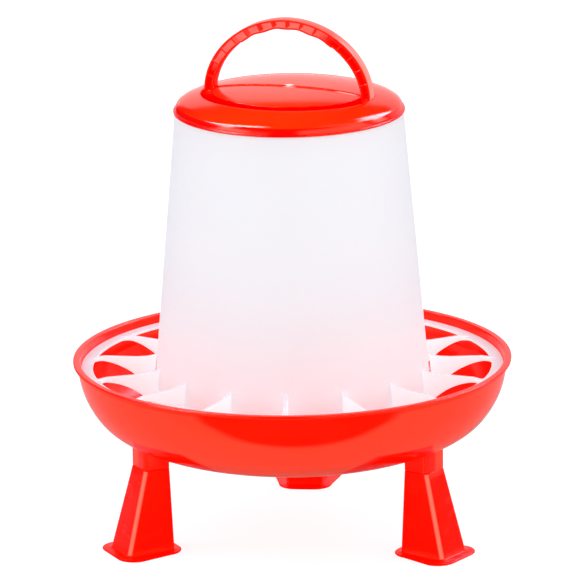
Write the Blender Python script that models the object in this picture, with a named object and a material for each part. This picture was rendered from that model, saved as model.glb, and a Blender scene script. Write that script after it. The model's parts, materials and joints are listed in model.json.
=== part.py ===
"""Poultry feeder on three plug-in legs: a dish with a divider grid, a cone-sided hopper, a domed lid and
a fold-down carry handle. Lengths are in metres, +Z is up and the feet stand on z = 0.
"""

import math

import bmesh
import bpy
from mathutils import Matrix, Vector

# Overall sizes
RIM_RADIUS = 0.175
LEG_LENGTH = 0.0693
DISH_DEPTH = 0.073
FEED_GAP = 0.023
HOPPER_LENGTH = 0.2513
HOPPER_FOOT_RADIUS = 0.1123
HOPPER_TOP_RADIUS = 0.0906

# Levels above the ground
COLLAR_DROP = 0.001
DISH_BASE_HEIGHT = LEG_LENGTH + COLLAR_DROP
RIM_HEIGHT = DISH_BASE_HEIGHT + DISH_DEPTH
HOPPER_FOOT_HEIGHT = DISH_BASE_HEIGHT + FEED_GAP
HOPPER_TOP_HEIGHT = HOPPER_FOOT_HEIGHT + HOPPER_LENGTH

# Fits between the pieces
SEAT_GAP = 0.0003
SLIDE_GAP = 0.0004
TURN_GAP = 0.0005
HOPPER_GAP = 0.0012
HANDLE_GAP = 0.0008

# Dish
DISH_WALL = 0.002
RIM_LIP_WIDTH = 0.0035
DISH_WALL_RADIUS = RIM_RADIUS - RIM_LIP_WIDTH
RIM_LIP_THICKNESS = 0.0025
RIM_LIP_ROUNDING = 0.0006
DISH_CURVE_SHARES = (
    (0.49, 0.0), (0.58, 0.031), (0.668, 0.086), (0.753, 0.156), (0.829, 0.243), (0.891, 0.358),
    (0.936, 0.498), (0.971, 0.664), (0.991, 0.834), (1.0, 1.0),
)
GRID_LEDGE_WIDTH = 0.0022
GRID_LEDGE_RUN_OUT = 0.009
CONE_FOOT_RADIUS = 0.064
CONE_HEIGHT = 0.044
CONE_ROUNDING_SHARES = ((1.0, 0.0), (0.93, 0.045), (0.22, 0.93), (0.0, 1.0))

# Sockets under the dish and the legs that plug into them
LEG_COUNT = 3
FIRST_LEG_ANGLE = math.radians(90)
LEG_RIM_INSET = 0.0386
LEG_TOP_DEPTH = 0.0224
LEG_SPLAY = 0.0181
LEG_FOOT_DEPTH = 0.043
LEG_TOP_OUTER_RADIUS = RIM_RADIUS - LEG_RIM_INSET
LEG_TOP_INNER_RADIUS = LEG_TOP_OUTER_RADIUS - LEG_TOP_DEPTH
LEG_FOOT_OUTER_RADIUS = LEG_TOP_OUTER_RADIUS + LEG_SPLAY
LEG_FOOT_INNER_RADIUS = LEG_FOOT_OUTER_RADIUS - LEG_FOOT_DEPTH
LEG_TOP_HALF_WIDTH = 0.0132
LEG_FOOT_INNER_HALF_WIDTH = 0.015
LEG_FOOT_OUTER_HALF_WIDTH = 0.0178
LEG_CORNER_RADIUS = 0.0036
LEG_WALL = 0.0018
SOCKET_WALL = 0.002
SOCKET_REACH = 0.03
NECK_ROOF_GAP = 0.0016
FOOT_FLANGE_WIDTH = 0.0068
FOOT_FLANGE_OUTER_SPREAD = 0.0034
FOOT_FLANGE_CORNER_RADIUS = 0.0145
FOOT_FLANGE_THICKNESS = 0.0018
FOOT_FLANGE_DRAFT = 0.0005

# Bayonet that holds the hopper above the dish
HOPPER_WALL = 0.002
BAYONET_COUNT = 3
BAYONET_ANGLE = math.radians(30)
HOPPER_TURN = math.radians(24)
POST_GAP = 0.0031
POST_THICKNESS = 0.0037
POST_OUTER_RADIUS = HOPPER_FOOT_RADIUS - HOPPER_WALL - POST_GAP
POST_INNER_RADIUS = POST_OUTER_RADIUS - POST_THICKNESS
POST_HALF_ANGLE = math.radians(4.2)
LUG_REACH = 0.0003
LUG_OUTER_RADIUS = HOPPER_FOOT_RADIUS + LUG_REACH
LUG_HALF_ANGLE = math.radians(2.4)
LUG_RISE = 0.0065
LUG_THICKNESS = 0.004
LUG_BASE_HEIGHT = HOPPER_FOOT_HEIGHT + LUG_RISE
POST_CAP = 0.0025
ARM_THICKNESS = 0.0026
ARM_INNER_RADIUS = 0.02
ARM_HEIGHT = 0.026
ARM_BITE = 0.001

# Hopper
HOPPER_LIP_ROUNDING = 0.0005
SLOT_HALF_ANGLE = math.radians(3.3)
SLOT_CUT_MARGIN = 0.004

# Divider grid
FIN_COUNT = 15
FIRST_FIN_ANGLE = math.radians(-88)
FIN_THICKNESS = 0.0026
GRID_DROP = 0.0064
GRID_THICKNESS = 0.002
GRID_MARGIN = 0.001
GRID_RING_WIDTH = 0.0093
GRID_OUTER_RADIUS = DISH_WALL_RADIUS - DISH_WALL - GRID_MARGIN
OPENING_OUTER_RADIUS = GRID_OUTER_RADIUS - GRID_RING_WIDTH
OPENING_CORNER_RADIUS = 0.007
OPENING_CORNER_SHARES = (0.0, 0.18, 0.5, 1.0)
FIN_RISE = 0.0021
FIN_PEAK_RISE = 0.0026
FIN_PEAK_RUN = 0.017
FIN_END_INSET = 0.004
FIN_OUTER_RADIUS = GRID_OUTER_RADIUS - FIN_END_INSET
FIN_TAPER_RUN = 0.012
FIN_DEPTH = 0.0245
FIN_CURVE_INSET = 0.0052
FIN_CURVE_OUTER_RADIUS = OPENING_OUTER_RADIUS - FIN_CURVE_INSET
FIN_CURVE_SHARES = (
    (0.0, 0.0), (0.1, 0.025), (0.27, 0.1), (0.37, 0.17), (0.46, 0.24), (0.56, 0.34), (0.66, 0.46),
    (0.84, 0.72),
)
INNER_RING_THICKNESS = 0.002
INNER_RING_DEPTH = 0.009

# Lid
LID_OVERHANG = 0.0011
LID_FLANGE_STEP = 0.0013
LID_SHOULDER_INSET = 0.0015
LID_FLANGE_RADIUS = HOPPER_TOP_RADIUS + LID_OVERHANG
LID_FLANGE_THICKNESS = 0.0014
LID_BODY_RADIUS = LID_FLANGE_RADIUS - LID_FLANGE_STEP
LID_SHOULDER_RADIUS = LID_BODY_RADIUS - LID_SHOULDER_INSET
LID_SHOULDER_HEIGHT = 0.0061
LID_DOME_HEIGHT = 0.0141
LID_WALL = 0.0024
LID_CURVE_SHARES = (
    (1.0, 0.0), (0.979, 0.12), (0.934, 0.277), (0.88, 0.4), (0.7926, 0.5462), (0.665, 0.715), (0.51, 0.855),
    (0.34, 0.946), (0.17, 0.987), (0.0, 1.0),
)
SKIRT_DEPTH = 0.0126
SKIRT_WALL = 0.0018
SKIRT_CHAMFER = 0.0005
ISLAND_STEP = 0.0009
TROUGH_WALL = 0.0024
TROUGH_RAISE = 0.02

# Carry handle
HANDLE_TURN = math.radians(-13.6)
HANDLE_HINGE_RISE = 0.0097
HANDLE_HINGE_HEIGHT = HOPPER_TOP_HEIGHT + HANDLE_HINGE_RISE
HANDLE_EDGE_INSET = 0.0227
HANDLE_HALF_SPAN = LID_FLANGE_RADIUS - HANDLE_EDGE_INSET
HANDLE_RISE = 0.0605
HANDLE_POST_HEIGHT = 0.0042
HANDLE_DEPTH = 0.011
HANDLE_SIDE_THICKNESS = 0.0078
HANDLE_TOP_THICKNESS = 0.0072
HANDLE_OUTER_POWER = 1.94
HANDLE_INNER_POWER = 1.85
HANDLE_WEB = 0.002
HANDLE_FLANGE = 0.0017
HANDLE_RIB = 0.0014
HANDLE_CELLS = 16
HANDLE_CELL_STEPS = 3
FINGER_PITCH = 0.0183
FINGER_BUMP = 0.0009
FINGER_SPAN = 0.0366
HANDLE_END_INSET = 0.00015
PIN_RADIUS = 0.0024
PIN_LENGTH = 0.0038
PIN_GAP = 0.0003

# Fineness of the curves
DISH_STEPS = 64
HOPPER_STEPS = 64
LID_STEPS = 60
GRID_STEPS = 60
CORNER_STEPS = 3
PIN_STEPS = 20
SECTOR_STEPS = 3
ARCH_SEARCH_STEPS = 40
OVERCUT = 0.002
WELD_DISTANCE = 1e-7

RED = (0.92, 0.03, 0.01, 1.0)
DARK_RED = (0.85, 0.02, 0.01, 1.0)
MILKY = (0.93, 0.93, 0.94, 0.8)
WHITE = (0.93, 0.9, 0.92, 1.0)
GLOSSY = 0.25
SATIN = 0.4


def clear_scene() -> None:
    """Removes every object of the startup scene."""
    for obj in list(bpy.data.objects):
        bpy.data.objects.remove(obj, do_unlink=True)


def finish(name: str, colour: tuple, roughness: float) -> bpy.types.Material:
    """A plain plastic with one colour."""
    material = bpy.data.materials.new(name)
    material.use_nodes = True
    shader = material.node_tree.nodes["Principled BSDF"]
    shader.inputs["Base Color"].default_value = colour
    shader.inputs["Roughness"].default_value = roughness
    return material


def object_from(mesh: bmesh.types.BMesh, name: str) -> bpy.types.Object:
    """Puts a mesh in the scene under this name, with its faces turned outwards."""
    bmesh.ops.recalc_face_normals(mesh, faces=mesh.faces)
    data = bpy.data.meshes.new(name)
    mesh.to_mesh(data)
    mesh.free()
    obj = bpy.data.objects.new(name, data)
    bpy.context.scene.collection.objects.link(obj)
    return obj


def lathe(name: str, profile: list, steps: int) -> bpy.types.Object:
    """Spins a profile of (radius, height) points round the vertical axis. A ring's profile is closed by
    naming its first point again, and a full body's runs from the axis to the axis.
    """
    mesh = bmesh.new()
    closed = profile[0] == profile[-1]
    used = profile[:-1] if closed else profile
    points = [mesh.verts.new((radius, 0, height)) for radius, height in used]
    pairs = list(zip(points, points[1:]))
    if closed:
        pairs.append((points[-1], points[0]))
    edges = [mesh.edges.new(pair) for pair in pairs]
    bmesh.ops.spin(
        mesh, geom=points + edges, axis=(0, 0, 1), cent=(0, 0, 0), angle=math.tau, steps=steps,
        use_merge=True, use_duplicate=False,
    )
    bmesh.ops.remove_doubles(mesh, verts=mesh.verts, dist=WELD_DISTANCE)
    bmesh.ops.dissolve_degenerate(mesh, edges=mesh.edges, dist=WELD_DISTANCE)
    return object_from(mesh, name)


def loft(name: str, rings: list, loop: bool = False) -> bpy.types.Object:
    """Joins rings of points that match one to one. Its ends are capped unless the rings run in a loop."""
    mesh = bmesh.new()
    made = [[mesh.verts.new(point) for point in ring] for ring in rings]
    pairs = list(zip(made, made[1:]))
    if loop:
        pairs.append((made[-1], made[0]))
    else:
        mesh.faces.new(made[0])
        mesh.faces.new(made[-1])
    for low, high in pairs:
        for i, point in enumerate(low):
            mesh.faces.new((low[i - 1], point, high[i], high[i - 1]))
    return object_from(mesh, name)


def prism(name: str, outline: list, start: float, end: float) -> bpy.types.Object:
    """Stands a plan outline of (x, y) points up between two heights."""
    return loft(name, [[(x, y, height) for x, y in outline] for height in (start, end)])


def turned(obj: bpy.types.Object, angle: float) -> bpy.types.Object:
    """Turns a piece round the object's upright axis."""
    obj.data.transform(Matrix.Rotation(angle, 4, "Z"))
    return obj


def boolean(target: bpy.types.Object, other: bpy.types.Object, operation: str) -> bpy.types.Object:
    """Cuts, joins or intersects the target with the other piece, which is used up."""
    modifier = target.modifiers.new(operation.title(), "BOOLEAN")
    modifier.operation = operation
    modifier.solver = "EXACT"
    modifier.object = other
    graph = bpy.context.evaluated_depsgraph_get()
    result = bpy.data.meshes.new_from_object(target.evaluated_get(graph))
    target.modifiers.remove(modifier)
    target.data = result
    bpy.data.objects.remove(other, do_unlink=True)
    return target


def cut(target: bpy.types.Object, other: bpy.types.Object) -> bpy.types.Object:
    """Takes the other piece's shape out of the target."""
    return boolean(target, other, "DIFFERENCE")


def join(target: bpy.types.Object, other: bpy.types.Object) -> bpy.types.Object:
    """Melts the other piece into the target."""
    return boolean(target, other, "UNION")


def offset_curve(points: list, distance: float) -> list:
    """The curve of (radius, height) points moved sideways, to the left of its direction."""
    moved = []
    for i, (radius, height) in enumerate(points):
        before = points[max(i - 1, 0)]
        after = points[min(i + 1, len(points) - 1)]
        along = Vector((after[0] - before[0], after[1] - before[1])).normalized()
        moved.append((max(radius - along.y * distance, 0), height + along.x * distance))
    return moved


def sector(name: str, radii: tuple, angles: tuple, heights: tuple) -> bpy.types.Object:
    """A block between two radii, two angles and two heights."""
    turns = [angles[0] + (angles[1] - angles[0]) * i / SECTOR_STEPS for i in range(SECTOR_STEPS + 1)]
    outline = [(radii[1] * math.cos(turn), radii[1] * math.sin(turn)) for turn in turns]
    outline += [(radii[0] * math.cos(turn), radii[0] * math.sin(turn)) for turn in reversed(turns)]
    return prism(name, outline, *heights)


def leg_section(inner: float, outer: float, half_inner: float, half_outer: float, corner: float) -> list:
    """The plan outline of a leg that points along +X: a box with rounded corners, wider at one end."""
    corners = [
        (outer, half_outer, 0), (inner, half_inner, 90),
        (inner, -half_inner, 180), (outer, -half_outer, 270),
    ]
    middle = (inner + outer) / 2
    outline = []
    for radius, side, start in corners:
        centre = (radius - math.copysign(corner, radius - middle), side - math.copysign(corner, side))
        for i in range(CORNER_STEPS + 1):
            turn = math.radians(start + 90 * i / CORNER_STEPS)
            outline.append((centre[0] + corner * math.cos(turn), centre[1] + corner * math.sin(turn)))
    return outline


def shrunk_section(inset: float, share: float, corner: float) -> list:
    """The leg's section with its walls moved in by an inset. The share is 0 at the foot and 1 at the top."""
    def between(foot: float, top: float) -> float:
        return foot + (top - foot) * share

    return leg_section(
        between(LEG_FOOT_INNER_RADIUS, LEG_TOP_INNER_RADIUS) + inset,
        between(LEG_FOOT_OUTER_RADIUS, LEG_TOP_OUTER_RADIUS) - inset,
        between(LEG_FOOT_INNER_HALF_WIDTH, LEG_TOP_HALF_WIDTH) - inset,
        between(LEG_FOOT_OUTER_HALF_WIDTH, LEG_TOP_HALF_WIDTH) - inset,
        corner,
    )


def flange_section(inset: float) -> list:
    """The plan outline of a leg's foot flange, moved in by an inset."""
    width = FOOT_FLANGE_WIDTH - inset
    return leg_section(
        LEG_FOOT_INNER_RADIUS - width,
        LEG_FOOT_OUTER_RADIUS + width,
        LEG_FOOT_INNER_HALF_WIDTH + width,
        LEG_FOOT_OUTER_HALF_WIDTH + width + FOOT_FLANGE_OUTER_SPREAD,
        FOOT_FLANGE_CORNER_RADIUS - inset,
    )


def at_height(outline: list, height: float) -> list:
    """An outline's points at one height."""
    return [(x, y, height) for x, y in outline]


def dish_curve() -> list:
    """The dish's outer side, from its flat base out to the rim."""
    rise = RIM_HEIGHT - RIM_LIP_THICKNESS - DISH_BASE_HEIGHT
    return [(DISH_WALL_RADIUS * across, DISH_BASE_HEIGHT + rise * up) for across, up in DISH_CURVE_SHARES]


def cone_curve(raise_by: float) -> list:
    """The feed cone in the dish's middle, from its foot in to the axis."""
    return [
        (CONE_FOOT_RADIUS * across, DISH_BASE_HEIGHT + raise_by + CONE_HEIGHT * up)
        for across, up in CONE_ROUNDING_SHARES
    ]


def dish_profile() -> list:
    """The dish's wall from the axis out under the base, over the rim and back inside to the axis."""
    outer = dish_curve()
    ledge_height = RIM_HEIGHT - GRID_DROP - GRID_THICKNESS - SEAT_GAP
    ledge_foot = ledge_height - GRID_LEDGE_RUN_OUT
    inner = [point for point in offset_curve(outer, DISH_WALL) if point[1] < ledge_foot]
    lip_foot = RIM_HEIGHT - RIM_LIP_THICKNESS
    rim_inner_radius = DISH_WALL_RADIUS - DISH_WALL
    seat_radius = GRID_OUTER_RADIUS + SLIDE_GAP
    rim = [
        (RIM_RADIUS - RIM_LIP_ROUNDING, lip_foot),
        (RIM_RADIUS, lip_foot + RIM_LIP_ROUNDING),
        (RIM_RADIUS, RIM_HEIGHT - RIM_LIP_ROUNDING),
        (RIM_RADIUS - RIM_LIP_ROUNDING, RIM_HEIGHT),
        (rim_inner_radius + RIM_LIP_ROUNDING, RIM_HEIGHT),
        (rim_inner_radius, RIM_HEIGHT - RIM_LIP_ROUNDING),
        (seat_radius, ledge_height),
        (seat_radius - GRID_LEDGE_WIDTH, ledge_height),
    ]
    underside = list(reversed(cone_curve(0)))
    return underside + outer + rim + list(reversed(inner)) + cone_curve(DISH_WALL)


def dish_inside() -> bpy.types.Object:
    """All that lies above the middle of the dish's wall."""
    middle = list(reversed(cone_curve(DISH_WALL / 2))) + offset_curve(dish_curve(), DISH_WALL / 2)
    lid = [(middle[-1][0], HOPPER_TOP_HEIGHT), (0, HOPPER_TOP_HEIGHT)]
    return lathe("dish_inside", middle + lid, DISH_STEPS)


def leg_angle(index: int) -> float:
    """The direction in which a leg stands."""
    return FIRST_LEG_ANGLE + math.tau * index / LEG_COUNT


def socket(index: int) -> bpy.types.Object:
    """One collar under the dish. It ends inside the dish's wall."""
    top = LEG_LENGTH + SOCKET_REACH
    collar = prism("collar", shrunk_section(0, 1, LEG_CORNER_RADIUS), LEG_LENGTH, top)
    hollow = shrunk_section(SOCKET_WALL, 1, LEG_CORNER_RADIUS - SOCKET_WALL)
    cut(collar, prism("socket_hollow", hollow, LEG_LENGTH - OVERCUT, top + OVERCUT))
    return cut(turned(collar, leg_angle(index)), dish_inside())


def bayonet_post(index: int) -> bpy.types.Object:
    """One upright post with its lug, and the arm that ties it to the cone."""
    floor = DISH_BASE_HEIGHT
    lug_heights = (LUG_BASE_HEIGHT, LUG_BASE_HEIGHT + LUG_THICKNESS)
    post = sector(
        "post", (POST_INNER_RADIUS, POST_OUTER_RADIUS), (-POST_HALF_ANGLE, POST_HALF_ANGLE),
        (floor, lug_heights[1] + POST_CAP),
    )
    lug_radii = (POST_OUTER_RADIUS - ARM_BITE, LUG_OUTER_RADIUS)
    join(post, sector("lug", lug_radii, (-LUG_HALF_ANGLE, LUG_HALF_ANGLE), lug_heights))
    arm_end = POST_INNER_RADIUS + ARM_BITE
    side = ARM_THICKNESS / 2
    outline = [(ARM_INNER_RADIUS, -side), (arm_end, -side), (arm_end, side), (ARM_INNER_RADIUS, side)]
    join(post, prism("arm", outline, floor, floor + ARM_HEIGHT))
    turned(post, BAYONET_ANGLE + math.tau * index / BAYONET_COUNT)
    return boolean(post, dish_inside(), "INTERSECT")


def build_dish() -> bpy.types.Object:
    """The dish with its cone, its leg sockets and its bayonet posts."""
    dish = lathe("dish", dish_profile(), DISH_STEPS)
    for index in range(LEG_COUNT):
        join(dish, socket(index))
    for index in range(BAYONET_COUNT):
        join(dish, bayonet_post(index))
    return dish


def neck_roof(radius: float) -> float:
    """How high the dish's underside is at a radius, less the gap above a leg's neck."""
    curve = dish_curve()
    for low, high in zip(curve, curve[1:]):
        if low[0] <= radius <= high[0]:
            share = (radius - low[0]) / (high[0] - low[0])
            return low[1] + (high[1] - low[1]) * share - NECK_ROOF_GAP
    return curve[0][1] - NECK_ROOF_GAP


def build_leg(name: str, index: int) -> bpy.types.Object:
    """A hollow leg: a foot flange, a tapered body and a neck that plugs into its socket."""
    shoulder = LEG_LENGTH - SEAT_GAP
    inner_corner = LEG_CORNER_RADIUS - LEG_WALL
    leg = loft("body", [
        at_height(shrunk_section(0, 0, LEG_CORNER_RADIUS), FOOT_FLANGE_THICKNESS / 2),
        at_height(shrunk_section(0, 1, LEG_CORNER_RADIUS), shoulder),
    ])
    join(leg, loft("flange", [
        at_height(flange_section(0), 0),
        at_height(flange_section(FOOT_FLANGE_DRAFT), FOOT_FLANGE_THICKNESS),
    ]))
    neck_inset = SOCKET_WALL + SLIDE_GAP
    neck = shrunk_section(neck_inset, 1, LEG_CORNER_RADIUS - SOCKET_WALL)
    join(leg, loft("neck", [
        at_height(neck, shoulder - LEG_WALL),
        [(x, y, neck_roof(math.hypot(x, y))) for x, y in neck],
    ]))
    cut(leg, loft("leg_hollow", [
        at_height(shrunk_section(LEG_WALL, 0, inner_corner), -OVERCUT),
        at_height(shrunk_section(LEG_WALL, 1, inner_corner), shoulder - LEG_WALL),
    ]))
    bore = shrunk_section(neck_inset + LEG_WALL, 1, inner_corner / 2)
    cut(leg, loft("neck_hollow", [
        at_height(bore, shoulder - LEG_WALL - OVERCUT),
        [(x, y, neck_roof(math.hypot(x, y)) - LEG_WALL) for x, y in bore],
    ]))
    leg.name = name
    return turned(leg, leg_angle(index))


def hopper_radius(height: float) -> float:
    """The hopper's outer radius at a height."""
    share = (height - HOPPER_FOOT_HEIGHT) / (HOPPER_TOP_HEIGHT - HOPPER_FOOT_HEIGHT)
    return HOPPER_FOOT_RADIUS + (HOPPER_TOP_RADIUS - HOPPER_FOOT_RADIUS) * share


def bayonet_slot(index: int) -> bpy.types.Object:
    """One L-shaped slot: a level run for the lug, and a mouth at the hopper's foot."""
    radii = (POST_OUTER_RADIUS, HOPPER_FOOT_RADIUS + SLOT_CUT_MARGIN)
    low = LUG_BASE_HEIGHT - TURN_GAP
    high = LUG_BASE_HEIGHT + LUG_THICKNESS + TURN_GAP
    slot = sector("level_run", radii, (-HOPPER_TURN - SLOT_HALF_ANGLE, SLOT_HALF_ANGLE), (low, high))
    mouth_angles = (-HOPPER_TURN - SLOT_HALF_ANGLE, -HOPPER_TURN + SLOT_HALF_ANGLE)
    join(slot, sector("mouth", radii, mouth_angles, (HOPPER_FOOT_HEIGHT - OVERCUT, high)))
    return turned(slot, BAYONET_ANGLE + math.tau * index / BAYONET_COUNT)


def build_hopper() -> bpy.types.Object:
    """The open cone-sided hopper, with a bayonet slot over each lug of the dish."""
    rounding = HOPPER_LIP_ROUNDING
    foot, top = HOPPER_FOOT_RADIUS, HOPPER_TOP_RADIUS
    profile = [
        (foot, HOPPER_FOOT_HEIGHT), (top, HOPPER_TOP_HEIGHT - rounding), (top - rounding, HOPPER_TOP_HEIGHT),
        (top - HOPPER_WALL + rounding, HOPPER_TOP_HEIGHT), (top - HOPPER_WALL, HOPPER_TOP_HEIGHT - rounding),
        (foot - HOPPER_WALL, HOPPER_FOOT_HEIGHT), (foot, HOPPER_FOOT_HEIGHT),
    ]
    hopper = lathe("hopper", profile, HOPPER_STEPS)
    for index in range(BAYONET_COUNT):
        cut(hopper, bayonet_slot(index))
    return hopper


def opening_edge() -> list:
    """The grid ring's scalloped inner edge: a wide bay with rounded corners between each two fins."""
    pitch = math.tau / FIN_COUNT
    fin_side = FIN_THICKNESS / 2 / OPENING_OUTER_RADIUS
    corner = OPENING_CORNER_RADIUS / OPENING_OUTER_RADIUS
    edge = []
    for index in range(FIN_COUNT):
        start = FIRST_FIN_ANGLE + index * pitch + fin_side
        end = start + pitch - 2 * fin_side
        bay = []
        for share in OPENING_CORNER_SHARES:
            drop = OPENING_CORNER_RADIUS * (1 - math.sqrt(1 - (1 - share) ** 2))
            bay.append((corner * share, OPENING_OUTER_RADIUS - drop))
        edge += [(start + turn, radius) for turn, radius in bay]
        edge.append(((start + end) / 2, OPENING_OUTER_RADIUS))
        edge += [(end - turn, radius) for turn, radius in reversed(bay)]
    return edge


def grid_ring() -> bpy.types.Object:
    """The grid's flat outer ring."""
    top = RIM_HEIGHT - GRID_DROP
    edge = opening_edge()
    inner = [(radius * math.cos(turn), radius * math.sin(turn)) for turn, radius in edge]
    outer = [(GRID_OUTER_RADIUS * math.cos(turn), GRID_OUTER_RADIUS * math.sin(turn)) for turn, _ in edge]
    rings = [at_height(inner, top), at_height(outer, top)]
    rings += [at_height(outer, top - GRID_THICKNESS), at_height(inner, top - GRID_THICKNESS)]
    return loft("divider_grid", rings, loop=True)


def fin_outline() -> list:
    """A fin's side view as (radius, height) points: a straight top that climbs at the hopper, and a foot
    that curves down to the inner ring.
    """
    ring_top = RIM_HEIGHT - GRID_DROP
    top = ring_top + FIN_RISE
    curve_start = ring_top - GRID_THICKNESS
    low = curve_start - FIN_DEPTH
    inner_low = hopper_radius(low) + HOPPER_GAP
    inner_high = hopper_radius(top) + HOPPER_GAP
    run = FIN_CURVE_OUTER_RADIUS - inner_low
    foot = [
        (FIN_CURVE_OUTER_RADIUS - run * across, curve_start - FIN_DEPTH * down)
        for across, down in FIN_CURVE_SHARES
    ]
    bite = INNER_RING_THICKNESS / 2
    return [
        (FIN_OUTER_RADIUS, ring_top - GRID_THICKNESS / 2),
        (FIN_OUTER_RADIUS - bite, ring_top + GRID_THICKNESS / 4),
        (FIN_OUTER_RADIUS - FIN_TAPER_RUN, top),
        (inner_high + FIN_PEAK_RUN, top),
        (inner_high + FIN_PEAK_RUN / 2, top + FIN_PEAK_RISE / 4),
        (inner_high + bite, top + FIN_PEAK_RISE),
        (inner_high, top + FIN_PEAK_RISE),
        (inner_low + bite, low + INNER_RING_DEPTH / 4),
        *reversed(foot),
        (FIN_CURVE_OUTER_RADIUS + bite, ring_top - GRID_THICKNESS / 2),
    ]


def fin(index: int) -> bpy.types.Object:
    """One radial fin of the grid."""
    side = FIN_THICKNESS / 2
    outline = fin_outline()
    made = loft("fin", [[(radius, y, height) for radius, height in outline] for y in (-side, side)])
    return turned(made, FIRST_FIN_ANGLE + math.tau * index / FIN_COUNT)


def inner_ring() -> bpy.types.Object:
    """The band low down round the hopper that ties the fins' inner ends together."""
    low = RIM_HEIGHT - GRID_DROP - GRID_THICKNESS - FIN_DEPTH
    high = low + INNER_RING_DEPTH
    inner_low = hopper_radius(low) + HOPPER_GAP
    inner_high = hopper_radius(high) + HOPPER_GAP
    profile = [
        (inner_low, low), (inner_low + INNER_RING_THICKNESS, low), (inner_high + INNER_RING_THICKNESS, high),
        (inner_high, high), (inner_low, low),
    ]
    return lathe("inner_ring", profile, GRID_STEPS)


def build_grid() -> bpy.types.Object:
    """The divider grid that lies in the dish's rim."""
    grid = grid_ring()
    for index in range(FIN_COUNT):
        join(grid, fin(index))
    return join(grid, inner_ring())


def dome_curve(shift: float) -> list:
    """The lid's dome from its shoulder to the axis, moved down its own slope by a shift."""
    foot = HOPPER_TOP_HEIGHT + SEAT_GAP + LID_SHOULDER_HEIGHT
    outer = [(LID_SHOULDER_RADIUS * across, foot + LID_DOME_HEIGHT * up) for across, up in LID_CURVE_SHARES]
    return offset_curve(outer, shift) if shift else outer


def lid_profile() -> list:
    """The lid from the top of its dome out over the flange, down the inner skirt and back under the dome."""
    base = HOPPER_TOP_HEIGHT + SEAT_GAP
    skirt_foot = base - SKIRT_DEPTH
    skirt_outer = hopper_radius(HOPPER_TOP_HEIGHT) - HOPPER_WALL - SLIDE_GAP
    skirt_inner = skirt_outer - SKIRT_WALL
    under = [point for point in dome_curve(LID_WALL) if point[0] < skirt_inner]
    return [
        *reversed(dome_curve(0)),
        (LID_BODY_RADIUS, base + LID_FLANGE_THICKNESS * 2),
        (LID_BODY_RADIUS, base + LID_FLANGE_THICKNESS),
        (LID_FLANGE_RADIUS, base + LID_FLANGE_THICKNESS),
        (LID_FLANGE_RADIUS, base),
        (skirt_outer, base),
        (skirt_outer, skirt_foot + SKIRT_CHAMFER),
        (skirt_outer - SKIRT_CHAMFER, skirt_foot),
        (skirt_inner, skirt_foot),
        (skirt_inner, under[0][1]),
        *under,
    ]


def dome_solid(shift: float) -> bpy.types.Object:
    """All that lies under the dome's surface moved down by a shift."""
    curve = dome_curve(shift)
    low = HOPPER_TOP_HEIGHT - TROUGH_RAISE
    return lathe("dome_solid", [(0, low), (curve[0][0], low)] + curve, LID_STEPS)


def arch_point(angle: float, half_span: float, rise: float, power: float) -> Vector:
    """A point of the handle's arch in its own plane: x along the hinge, y up from the top of its posts."""
    across = half_span * abs(math.cos(angle)) ** (2 / power)
    return Vector((math.copysign(across, math.cos(angle)), rise * math.sin(angle) ** (2 / power)))


def finger_bump(across: float) -> float:
    """How far the grip's inner side stands in at this distance from the middle."""
    if abs(across) > FINGER_SPAN:
        return 0
    return FINGER_BUMP * (1 + math.cos(math.tau * across / FINGER_PITCH)) / 2


def arch_pairs() -> list:
    """Matching outer and inner points of the handle's arch, evenly spaced along it, from its +X end."""
    fine = ARCH_SEARCH_STEPS * HANDLE_CELLS
    outer = [
        arch_point(math.pi * i / fine, HANDLE_HALF_SPAN, HANDLE_RISE, HANDLE_OUTER_POWER)
        for i in range(fine + 1)
    ]
    walked = [0]
    for before, after in zip(outer, outer[1:]):
        walked.append(walked[-1] + (after - before).length)
    pairs = []
    steps = HANDLE_CELLS * HANDLE_CELL_STEPS
    for step in range(steps + 1):
        goal = walked[-1] * step / steps
        nearest = min(range(fine + 1), key=lambda i: abs(walked[i] - goal))
        inner = arch_point(
            math.pi * nearest / fine, HANDLE_HALF_SPAN - HANDLE_SIDE_THICKNESS,
            HANDLE_RISE - HANDLE_TOP_THICKNESS, HANDLE_INNER_POWER,
        )
        inner.y -= finger_bump(inner.x)
        pairs.append((outer[nearest], inner))
    return pairs


def arch_outline(grow: float, drop: float) -> list:
    """The arch's outline grown on both sides, with straight posts that reach down by a drop."""
    pairs = arch_pairs()
    outer = [pair[0] + (pair[0] - pair[1]).normalized() * grow for pair in pairs]
    inner = [pair[1] - (pair[0] - pair[1]).normalized() * grow for pair in pairs]
    for side in (outer, inner):
        side.insert(0, Vector((side[0].x, -drop)))
        side.append(Vector((side[-1].x, -drop)))
    return outer + list(reversed(inner))


def upright(outline: list, front: float, back: float, name: str) -> bpy.types.Object:
    """Gives an outline in the handle's plane its depth, with the handle standing up on the lid."""
    base = HANDLE_HINGE_HEIGHT + HANDLE_POST_HEIGHT
    return loft(name, [[(point.x, depth, base + point.y) for point in outline] for depth in (front, back)])


def across_cylinder(name: str, radius: float, start: float, end: float) -> bpy.types.Object:
    """A round bar on the handle's hinge axis, between two distances from the middle."""
    rings = []
    for x in (start, end):
        turns = [math.tau * i / PIN_STEPS for i in range(PIN_STEPS)]
        rings.append([(x, radius * math.cos(t), HANDLE_HINGE_HEIGHT + radius * math.sin(t)) for t in turns])
    return loft(name, rings)


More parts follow.
